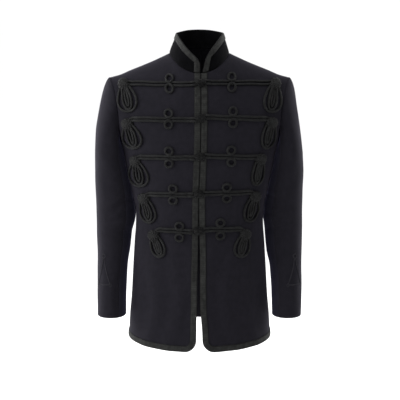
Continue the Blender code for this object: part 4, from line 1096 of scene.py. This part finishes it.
def cord_mesh(centre, normals, half, tall, closed=False, sides=CORD_SIDES):
    """Plaited cord round a line on the cloth, half as wide and half as high as given."""
    if closed:
        tangent = np.roll(centre, -1, axis=0) - np.roll(centre, 1, axis=0)
        step = np.linalg.norm(centre[1] - centre[0])
        length = step * len(centre)
        pitch = length / max(1, round(length / PLAIT_PITCH))
        distance = np.arange(len(centre)) * step
        taper = np.ones(len(centre))
    else:
        tangent = np.gradient(centre, axis=0)
        pitch = PLAIT_PITCH
        distance = lengths_along(centre)
        end = np.minimum(distance, distance[-1] - distance)
        taper = np.sqrt(np.clip(1 - (1 - np.clip(end / half, 0, 1)) ** 2, 0.04, 1))
    tangent = unit(tangent)
    beside = unit(np.cross(normals, tangent))
    up = np.cross(tangent, beside)
    turn = np.arange(sides) * 2 * pi / sides
    phase = (2 * pi * distance / pitch)[:, None]
    weave = 1 + PLAIT * np.cos(3 * turn + phase) * np.cos(3 * turn - phase)
    radius = weave * taper[:, None]
    points = centre[:, None] + beside[:, None] * (half * radius * np.cos(turn))[..., None]
    points = points + up[:, None] * (tall * radius * np.sin(turn))[..., None]
    # Painted shade: the cord darker on its underside and lower sides, towards the cloth, and in the grooves
    # between its strands
    crest = smooth_step((np.sin(turn)[None, :] - 0.10) / 0.75)
    strand = (weave - 1 + PLAIT) / (2 * PLAIT)
    return ringed(points, turn * half, distance, crest * (0.45 + 0.55 * strand), closed)


def joined(name, parts, material):
    """One mesh object from several sets of points, faces, texture places and painted shades."""
    by_size = {}
    base = 0
    for points, quads, _, _ in parts:
        for faces in quads:
            by_size.setdefault(faces.shape[1], []).append(faces + base)
        base += len(points)
    faces = [np.concatenate(by_size[size]) for size in sorted(by_size)]
    points, _, uv, shade = zip(*parts)
    return new_mesh(name, np.concatenate(points), faces, material, np.concatenate(uv), np.concatenate(shade))


def cord_on_front(side, path, lift=CORD_LIFT, closed=False):
    """Plaited cord along a path on a front. lift is how far its underside stands off the cloth."""
    cloth, normals = dressed_front_at(side, path[:, 0], path[:, 1])
    edge = front_edge(side, path[:, 1])
    beyond = (LIFT_ENDS - (path[:, 0] - edge)) / (LIFT_ENDS - LIFT_FULL)
    up = LIFT_ON_BRAID * smooth_step(beyond) + lift + CORD_TALL * CORD_SEAT
    return cord_mesh(cloth + normals * up[:, None], normals, CORD_HALF, CORD_TALL, closed)


def bar_start(frog):
    return frog.side * float(closing_line(frog.inner_z)) + BAR_START


def bar_path(frog, offset):
    """One strand of a bar, from under the toggle to its bend into the cap."""
    start = bar_start(frog) - BAR_UNDER_TOGGLE
    end = frog.cap_x - BAR_BEND
    outer_z = frog.outer_z + offset
    x = np.linspace(start, end, 40)
    z = mix(frog.inner_z, frog.outer_z, (x - start) / (end - start)) + offset
    wander = BAR_WANDER * np.sin(x * 90 + frog.row * 2 + frog.side)
    t = np.linspace(0, 1, 24)[1:, None]
    bend = np.array([frog.cap_x - BAR_AIM, outer_z])
    into_cap = np.array([frog.cap_x - BAR_END[0], frog.cap_z + BAR_END[1] + offset / 2])
    curve = (1 - t) ** 2 * np.array([end, outer_z]) + 2 * (1 - t) * t * bend + t * t * into_cap
    return evenly(np.concatenate([np.column_stack([x, z + wander]), curve]), CORD_STEP)


def row_z(frog, x):
    """The height of a frog's bars at a distance from the middle."""
    start = bar_start(frog)
    return mix(frog.inner_z, frog.outer_z, (x - start) / (frog.cap_x - BAR_BEND - start))


def eye_path(frog, up):
    """An eyelet of cord, its foot against the bar."""
    turn = np.linspace(0, 2 * pi, 73)[:-1]
    rise = frog.eyelet_up if up else frog.eyelet_down
    way = 1 if up else -1
    radius = EYELET_RADIUS * (1 + 0.03 * np.sin(2 * turn + frog.row))
    x = frog.eyelet_x + radius * np.sin(turn)
    z = row_z(frog, frog.eyelet_x) + way * (rise - radius * np.cos(turn))
    return evenly(np.column_stack([x, z]), CORD_STEP, closed=True)


def drop_path(frog, loop):
    """One hanging loop of cord, from the cap round its foot and back."""
    root = np.array([frog.cap_x - DROP_ROOT[0], frog.cap_z - DROP_ROOT[1]])
    way = np.array([frog.foot_x, frog.foot_z]) - root
    beside_way = unit(np.array([-way[1], way[0]]))
    swell = (loop.share * frog.spread - LOOP_TAPER * loop.strands) / LOOP_BELLY
    t = np.linspace(0, 2 * pi, 121)
    beside = loop.strands * np.cos(t / 2) + swell * np.sin(t) * np.sin(t / 2)
    along = loop.reach * (1 - np.cos(t)) / 2
    return evenly(root + along[:, None] * way + beside[:, None] * beside_way, CORD_STEP)


def net_of(turn, spin, threads):
    """How far the crossing threads of a net stand out, from 0 to 2."""
    return np.abs(np.sin(threads * turn + spin)) ** 3 + np.abs(np.sin(threads * turn - spin)) ** 3


def make_cap(frog):
    """The netted dome at a frog's outer end."""
    rings, around = CAP_GRID
    radius = CAP_RADIUS * CAP_SPREAD
    t = np.linspace(0, 1, rings)[:, None]
    turn = np.arange(around)[None, :] * 2 * pi / around
    reach = radius * np.maximum(np.sin(pi / 2 * (1 - t) ** 0.9), 0.05)
    rise = CAP_HEIGHT * np.cos(pi / 2 * (1 - t) ** 1.25)
    cross = net_of(turn, 7 * t, 5)
    bump = 1 + CAP_NET * (cross - NET_MEAN) * np.sin(pi * np.clip(t * 0.9 + 0.08, 0, 1))
    x = frog.cap_x + reach * bump * np.cos(turn)
    z = frog.cap_z + reach * bump * np.sin(turn)
    _, centre_normal = dressed_front_at(frog.side, frog.cap_x, frog.cap_z)
    base, base_normals = dressed_front_at(frog.side, x, z)
    even_top = 1 - smooth_step((t - 0.75) / 0.2)
    up = CORD_LIFT + rise * (1 + 0.9 * CAP_NET * (cross - NET_MEAN) * even_top)
    points = base + unit(mix(centre_normal, base_normals, 0.3)) * up[..., None]
    # Painted shade: the cap darker round its foot, against the cloth, and in the grooves of its net
    shade = smooth_step(t / 0.35) * (0.35 + 0.65 * np.clip(cross, 0, 1))
    return ringed(points, turn[0] * radius, t[:, 0] * radius, shade)


def make_frog(frog, label, cording):
    """A frog: two bars, an eyelet above and below, three hanging loops and a cap over their ends."""
    side = frog.side
    parts = [cord_on_front(side, bar_path(frog, offset)) for offset in (CORD_PITCH / 2, -CORD_PITCH / 2)]
    for up in (True, False):
        path = eye_path(frog, up)
        off_bars = np.abs(path[:, 1] - row_z(frog, frog.eyelet_x))
        over = smooth_step((EYE_OVER_FROM - off_bars) / EYE_OVER_RUN)
        parts.append(cord_on_front(side, path, CORD_LIFT + EYE_LIFT * over, closed=True))
    parts.append(cord_on_front(side, drop_path(frog, OUTER_LOOP)))
    inner = drop_path(frog, INNER_LOOP)
    near_root = smooth_step((np.abs(np.linspace(-1, 1, len(inner))) - 0.66) / 0.2)
    parts.append(cord_on_front(side, inner, CORD_LIFT + DROP_LIFT * near_root))
    parts.append(cord_on_front(side, drop_path(frog, CORE_LOOP)))
    parts.append(make_cap(frog))
    return joined(f"frogging_{label}_{frog.row}", parts, cording)


def toggle_place(row):
    """Where a toggle lies on the closing line, and its ways out, along and up."""
    rows = [frog for frog in FROGS if frog.row == row]
    z = sum(frog.inner_z for frog in rows) / len(rows)
    x = float(closing_line(z))
    cloth, normals = dressed_front_at(1, x, z)
    out = unit(normals * np.array([0.0, 1.0, 1.0]))
    beside = np.array([1.0, 0.0, 0.0])
    return np.array([x, cloth[1], cloth[2]]), out, beside, np.cross(beside, -out)


def make_toggle(row, netting):
    """The netted toggle of a row, with the two loops of cord that hold it."""
    place, out, beside, upward = toggle_place(row)
    rings, around = TOGGLE_GRID
    along = np.linspace(0.02, pi - 0.02, rings)[:, None]
    turn = np.arange(around)[None, :] * 2 * pi / around
    cross = net_of(turn, 3.2 * along, 3)
    swell = 1 + TOGGLE_NET * (cross - NET_MEAN)
    half_x, half_z, half_thick = np.array(OLIVET_HALF) * NETTED_SHARE
    belly = np.sin(along) ** 0.8 * (1 - 0.10 * np.exp(-((along - pi / 2) / 0.25) ** 2))
    x = -half_x * np.cos(along) * (1 + 0.02 * (cross - NET_MEAN))
    y = half_thick * belly * np.sin(turn) * swell
    z = half_z * belly * np.cos(turn) * swell
    centre = place + out * (BRAID_TOP + OLIVET_CLEAR + half_thick)
    points = centre + x[..., None] * beside + y[..., None] * out + z[..., None] * upward
    # Painted shade: the toggle darker towards its ends and its upper and lower edges, and in the grooves of
    # its net
    ends = smooth_step(np.sin(along) / 0.5)
    shade = ends * (0.25 + 0.75 * np.clip(cross, 0, 1)) * smooth_step(1.15 - np.abs(np.cos(turn)))
    parts = [ringed(points, turn[0] * half_z, along[:, 0] * half_x, shade)]
    t = np.linspace(0, 2 * pi, 97)[:-1, None]
    tilt = TOGGLE_LEAN * (-1) ** row
    for reach, tall, rise in TOGGLE_LOOPS:
        x = reach * np.cos(t) * cos(tilt) - tall * np.sin(t) * sin(tilt)
        z = reach * np.cos(t) * sin(tilt) + tall * np.sin(t) * cos(tilt)
        lift = BRAID_TOP + TOGGLE_CORD[0] + rise * (1 + np.cos(2 * t)) / 2
        line = evenly(place + out * lift + beside * x + upward * z, CORD_STEP, closed=True)
        parts.append(cord_mesh(line, np.tile(out, (len(line), 1)), *TOGGLE_CORD, closed=True, sides=10))
        tilt = -tilt
    return joined(f"toggle_{row}", parts, netting)


def make_tracing(side, label, cording):
    """Thin cord sewn above the cuff: a line with a curl at each end, a point over it and a small eye."""
    low = TRACING_BASE_Z
    top = TRACING_POINT_Z
    t = np.linspace(0, 1, 40)
    leg_x = mix(-TRACING_HALF, -TRACING_TIP[0], t) + TRACING_BOW[0] * np.sin(pi * t)
    leg = np.column_stack([leg_x, mix(low, top - TRACING_TIP[1], t)])
    base_z = low - TRACING_BOW[1] * np.sin(pi * t)
    base = np.column_stack([mix(-TRACING_HALF, TRACING_HALF, t), base_z])
    paths = [(leg, False), (leg[::-1] * np.array([-1, 1]), False), (base, False)]
    turn = np.linspace(0, 2 * pi, 49)[:-1]
    eye = np.column_stack([np.sin(turn), -np.cos(turn)]) * TRACING_EYE
    paths.append((eye + np.array([0, top + 0.0005]), True))
    curl = np.column_stack([np.cos(turn), np.sin(turn)]) * TRACING_CURL
    for way in (-1, 1):
        paths.append((curl + np.array([way * TRACING_HALF, low - 0.0012]), True))
    bicep_z = ARMS[side][0].height
    cuff_z = ARMS[side][-1].height
    parts = []
    for path, closed in paths:
        path = evenly(path, TRACING_STEP, closed)
        along = 1 + (bicep_z - path[:, 1]) / (bicep_z - cuff_z)
        cloth, normals = dressed_sleeve(side, along, TRACING_TURN + path[:, 0] / ARM_RADIUS)
        parts.append(cord_mesh(cloth + normals * TRACING_LIFT, normals, *TRACING_CORD, closed, sides=8))
    return joined(f"tracing_{label}", parts, cording)


# The look of each cloth: its slot, its two colours in slow patches, the colour of the shade painted in its
# crevices and under its edges, how fine the patches are, and its shine by the inputs in SHINE
Look = namedtuple("Look", "slot dark light crevice patch shine")
LOOKS = {
    "wool": Look(
        "navy_wool", (0.0040, 0.0037, 0.0056), (0.0054, 0.0049, 0.0073), None,
        85, (0.95, 0.10, 0.05, (0.70, 0.64, 0.90, 1), 0.45),
    ),
    # The under sleeves' wool: a bluer, lighter copy of the wool, with painted sheen in its colours for the
    # blue sheen that the same cloth shows in grazing light
    "under_wool_painted_sheen": Look(
        "navy_wool", (0.0042, 0.0039, 0.0066), (0.0060, 0.0057, 0.0094), None,
        38, (0.92, 0.11, 0.09, (0.52, 0.50, 0.95, 1), 0.42),
    ),
    "velvet": Look(
        "black_velvet", (0.0008, 0.0008, 0.0010), (0.0016, 0.0016, 0.0020), None,
        60, (1.0, 0.03, 0.05, (0.60, 0.60, 0.65, 1), 0.40),
    ),
    "mohair": Look(
        "mohair_braid", (0.0050, 0.0051, 0.0049), (0.0160, 0.0166, 0.0156), (0.0007, 0.0007, 0.0007),
        105, (0.70, 0.12, 0.05, (0.80, 0.82, 0.80, 1), 0.40),
    ),
    "cord": Look(
        "frogging_cord", (0.0036, 0.0036, 0.0037), (0.0092, 0.0094, 0.0095), (0.0003, 0.0003, 0.0003),
        110, (0.70, 0.10, 0.04, (0.80, 0.80, 0.84, 1), 0.40),
    ),
    "netting": Look(
        "olivet_netting", (0.0020, 0.0020, 0.0021), (0.0050, 0.0051, 0.0051), (0.0003, 0.0003, 0.0004),
        160, (0.75, 0.08, 0.04, (0.80, 0.80, 0.82, 1), 0.40),
    ),
    # The tracing: a copy of the cord's look painted lighter and bluer, near the wool's colour, to offset the
    # shade on its thin sides; it has no crevice shade
    "tracing": Look(
        "frogging_cord", (0.0078, 0.0074, 0.0094), (0.0120, 0.0115, 0.0142), None,
        110, (0.85, 0.08, 0.04, (0.70, 0.68, 0.86, 1), 0.45),
    ),
}
SHINE = ("Roughness", "Specular IOR Level", "Sheen Weight", "Sheen Tint", "Sheen Roughness")
# Fine relief of each cloth: how fine its grain is, how far it stands out, its strength and its detail
Grain = namedtuple("Grain", "scale distance strength detail")
GRAINS = {
    "wool": (Grain(900, 0.00035, 0.55, 3.0), Grain(170, 0.00050, 0.25, 1.0)),
    "under_wool_painted_sheen": (Grain(900, 0.00030, 0.50, 3.0), Grain(170, 0.00050, 0.20, 1.0)),
    "velvet": (Grain(1300, 0.00030, 0.60, 2.0), Grain(220, 0.00040, 0.20, 1.0)),
    "mohair": (Grain(1100, 0.00025, 0.60, 2.0), Grain(320, 0.00035, 0.35, 1.0)),
    "cord": (Grain(1400, 0.00022, 0.60, 2.0), Grain(420, 0.00030, 0.30, 1.0)),
    "netting": (Grain(1400, 0.00022, 0.60, 2.0), Grain(420, 0.00030, 0.35, 1.0)),
}
GRAINS["tracing"] = GRAINS["cord"]
# The threads of plaited pieces: their pitch, their lean both ways, and how far they stand out and how
# strongly. A wave texture of scale 1 has a wave on each WAVE_LENGTH.
THREAD_PITCH = {"mohair": 0.0010, "cord": 0.0009, "netting": 0.0009}
THREAD_LEAN = radians(38)
THREAD_RELIEF = (0.00018, 0.45)
WAVE_LENGTH = 0.314
# The range of the noise over which a patch goes from the first colour to the second
PATCH_RANGE = (0.34, 0.66)


def add_node(tree, kind, values, **wires):
    """A new shader node, some inputs set to values and others wired to the outputs of other nodes."""
    node = tree.nodes.new("ShaderNode" + kind)
    for name, value in values.items():
        node.inputs[name].default_value = value
    for name, output in wires.items():
        tree.links.new(output, node.inputs[name])
    return node


def bumped(tree, texture, distance, strength, relief):
    """The relief so far with that of a texture on it, as a wire to a Normal input."""
    values = {"Distance": distance, "Strength": strength}
    bump = add_node(tree, "Bump", values, Height=texture.outputs["Fac"], **relief)
    return {"Normal": bump.outputs["Normal"]}


def painted_crevice_shade(tree, colour, crevice):
    """Painted shade: the colour, darkened towards the crevice shade colour where the mesh's shade attribute
    is low.
    """
    # depth reads the painted shade attribute; deep takes the painted shade colour and high the cloth's own
    # colour
    depth = tree.nodes.new("ShaderNodeAttribute")
    depth.attribute_name = "shade"
    blend = tree.nodes.new("ShaderNodeMix")
    blend.data_type = "RGBA"
    factor, deep, high = blend.inputs[0], blend.inputs[6], blend.inputs[7]
    deep.default_value = (*crevice, 1)
    tree.links.new(depth.outputs["Fac"], factor)
    tree.links.new(colour, high)
    return blend.outputs[2]


def cloth_material(name):
    look = LOOKS[name]
    material = bpy.data.materials.new(name)
    material.use_nodes = True
    tree = material.node_tree
    shader = tree.nodes["Principled BSDF"]
    for socket, value in zip(SHINE, look.shine):
        shader.inputs[socket].default_value = value
    place = tree.nodes.new("ShaderNodeTexCoord")
    where = place.outputs["Object"]
    patches = add_node(tree, "TexNoise", {"Scale": look.patch, "Detail": 3.0}, Vector=where)
    ramp = add_node(tree, "ValToRGB", {}, Fac=patches.outputs["Fac"])
    for k, shade in enumerate((look.dark, look.light)):
        ramp.color_ramp.elements[k].position = PATCH_RANGE[k]
        ramp.color_ramp.elements[k].color = (*shade, 1)
    colour = ramp.outputs["Color"]
    # Painted shade in crevices and under edges, for the looks that have a crevice shade colour
    if look.crevice is not None:
        colour = painted_crevice_shade(tree, colour, look.crevice)
    tree.links.new(colour, shader.inputs["Base Color"])
    relief = {}
    for grain in GRAINS[name]:
        noise = add_node(tree, "TexNoise", {"Scale": grain.scale, "Detail": grain.detail}, Vector=where)
        relief = bumped(tree, noise, grain.distance, grain.strength, relief)
    if name in THREAD_PITCH:
        wave = {"Scale": WAVE_LENGTH / THREAD_PITCH[name], "Distortion": 1.2}
        for lean in (THREAD_LEAN, -THREAD_LEAN):
            turned = add_node(tree, "Mapping", {"Rotation": (0, 0, lean)}, Vector=place.outputs["UV"])
            threads = add_node(tree, "TexWave", wave, Vector=turned.outputs["Vector"])
            relief = bumped(tree, threads, *THREAD_RELIEF, relief)
    tree.links.new(relief["Normal"], shader.inputs["Normal"])
    return material


def plain_material(name, colour, roughness):
    material = bpy.data.materials.new(name)
    material.use_nodes = True
    shader = material.node_tree.nodes["Principled BSDF"]
    shader.inputs["Base Color"].default_value = (*colour, 1)
    shader.inputs["Roughness"].default_value = roughness
    return material


def place_piece(piece, node):
    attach(piece, "root")
    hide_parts(node)


# The cut of each kind of piece, laid flat: width, length and area of the cloth
Cut = namedtuple("Cut", "width length area")


def place_sheet(piece, node):
    """Place a piece of cloth or braid."""
    place_piece(piece, node)


def dress():
    looks = {name: cloth_material(name) for name in LOOKS}
    wool, mohair = looks["wool"], looks["mohair"]
    for side, label in ((-1, "right"), (1, "left")):
        front = make_front(side, f"wool_front_{label}", wool)
        place_sheet(front, f"front_{label}")
        back = make_back(side, f"wool_back_{label}", wool)
        place_sheet(back, f"back_{label}")
        for half, (first, last, columns, look) in SLEEVE_PIECES.items():
            name = f"wool_sleeve_{label}_{half}"
            piece = make_sleeve_piece(side, name, first, last, columns, looks[look])
            place_sheet(piece, f"sleeve_{label}_{half}")
        edging = laid_braid(f"mohair_edge_{label}", partial(edge_line, side), BRAID_WIDTH, mohair)
        place_sheet(edging, f"edge_braid_{label}")
        tracing = make_tracing(side, label, looks["tracing"])
        place_piece(tracing, f"cuff_tracing_{label}")
    hem = laid_braid("mohair_back_hem", back_hem_line, BRAID_WIDTH, mohair)
    place_sheet(hem, "edge_braid_back")
    velvet = make_collar(looks["velvet"])
    place_sheet(velvet, "collar")
    edging = laid_braid("mohair_collar", collar_braid_line, COLLAR_BRAID_WIDTH, mohair)
    place_sheet(edging, "collar_braid")
    for frog in FROGS:
        label = "right" if frog.side < 0 else "left"
        place_piece(make_frog(frog, label, looks["cord"]), f"frog_{label}_{frog.row}")
    for row in range(1, 6):
        place_piece(make_toggle(row, looks["netting"]), f"olivet_{row}")


FLOOR_Z = -1.15
FLOOR_REACH = 60.0
FLOOR_WHITE = (0.93, 0.93, 0.93)
WORLD_LIGHT = 1.08
LIGHT_SIZE = 1.4
LIGHTS = table(
    "name place target_z power",
    ("side_left", (-2.6, -0.7, 0.3), -0.3, 66),
    ("key", (-1.9, -1.6, 1.3), -0.2, 34),
    ("overhead", (-0.3, -0.9, 2.2), -0.3, 15),
    ("rim_left", (-2.2, 1.2, 0.3), -0.4, 44),
    ("rim_right", (2.2, 1.2, 0.3), -0.4, 36),
)


def set_stage():
    """A pale floor far under the hem, a white room and soft light from above and from the left."""
    mesh = bpy.data.meshes.new("floor")
    corners = ((-1, -1), (1, -1), (1, 1), (-1, 1))
    mesh.from_pydata([(x * FLOOR_REACH, y * FLOOR_REACH, FLOOR_Z) for x, y in corners], [], [(0, 1, 2, 3)])
    mesh.materials.append(plain_material("floor_white", FLOOR_WHITE, 0.9))
    floor = new_object("floor", mesh)
    world = bpy.data.worlds.new("studio")
    bpy.context.scene.world = world
    world.use_nodes = True
    backdrop = world.node_tree.nodes["Background"]
    backdrop.inputs["Color"].default_value = (1, 1, 1, 1)
    backdrop.inputs["Strength"].default_value = WORLD_LIGHT
    for light in LIGHTS:
        soft_light(light)


def soft_light(light):
    """A square of light that faces the jacket's middle line at a height."""
    data = bpy.data.lights.new(light.name, "AREA")
    data.shape = "SQUARE"
    data.size = LIGHT_SIZE
    data.energy = light.power
    lamp = new_object(light.name, data)
    lamp.location = light.place
    x, y, z = light.place
    tilt = float(np.arctan2(np.hypot(x, y), z - light.target_z))
    lamp.rotation_euler = (tilt, 0, float(np.arctan2(-y, -x) - pi / 2))


CAMERA_PLACE = (0.0, -3.2, 0.15)
CAMERA_DOWN = radians(9.4)
CAMERA_LENS = 112.32
CAMERA_SHIFT = 0.00125


def set_camera():
    data = bpy.data.cameras.new("camera")
    data.lens = CAMERA_LENS
    data.sensor_width = 36.0
    data.shift_x = CAMERA_SHIFT
    data.clip_end = 200.0
    camera = new_object("camera", data)
    camera.location = CAMERA_PLACE
    camera.rotation_euler = (pi / 2 - CAMERA_DOWN, 0, 0)
    bpy.context.scene.camera = camera
    bpy.context.scene.view_settings.view_transform = "Standard"


set_camera()
dress()
set_stage()
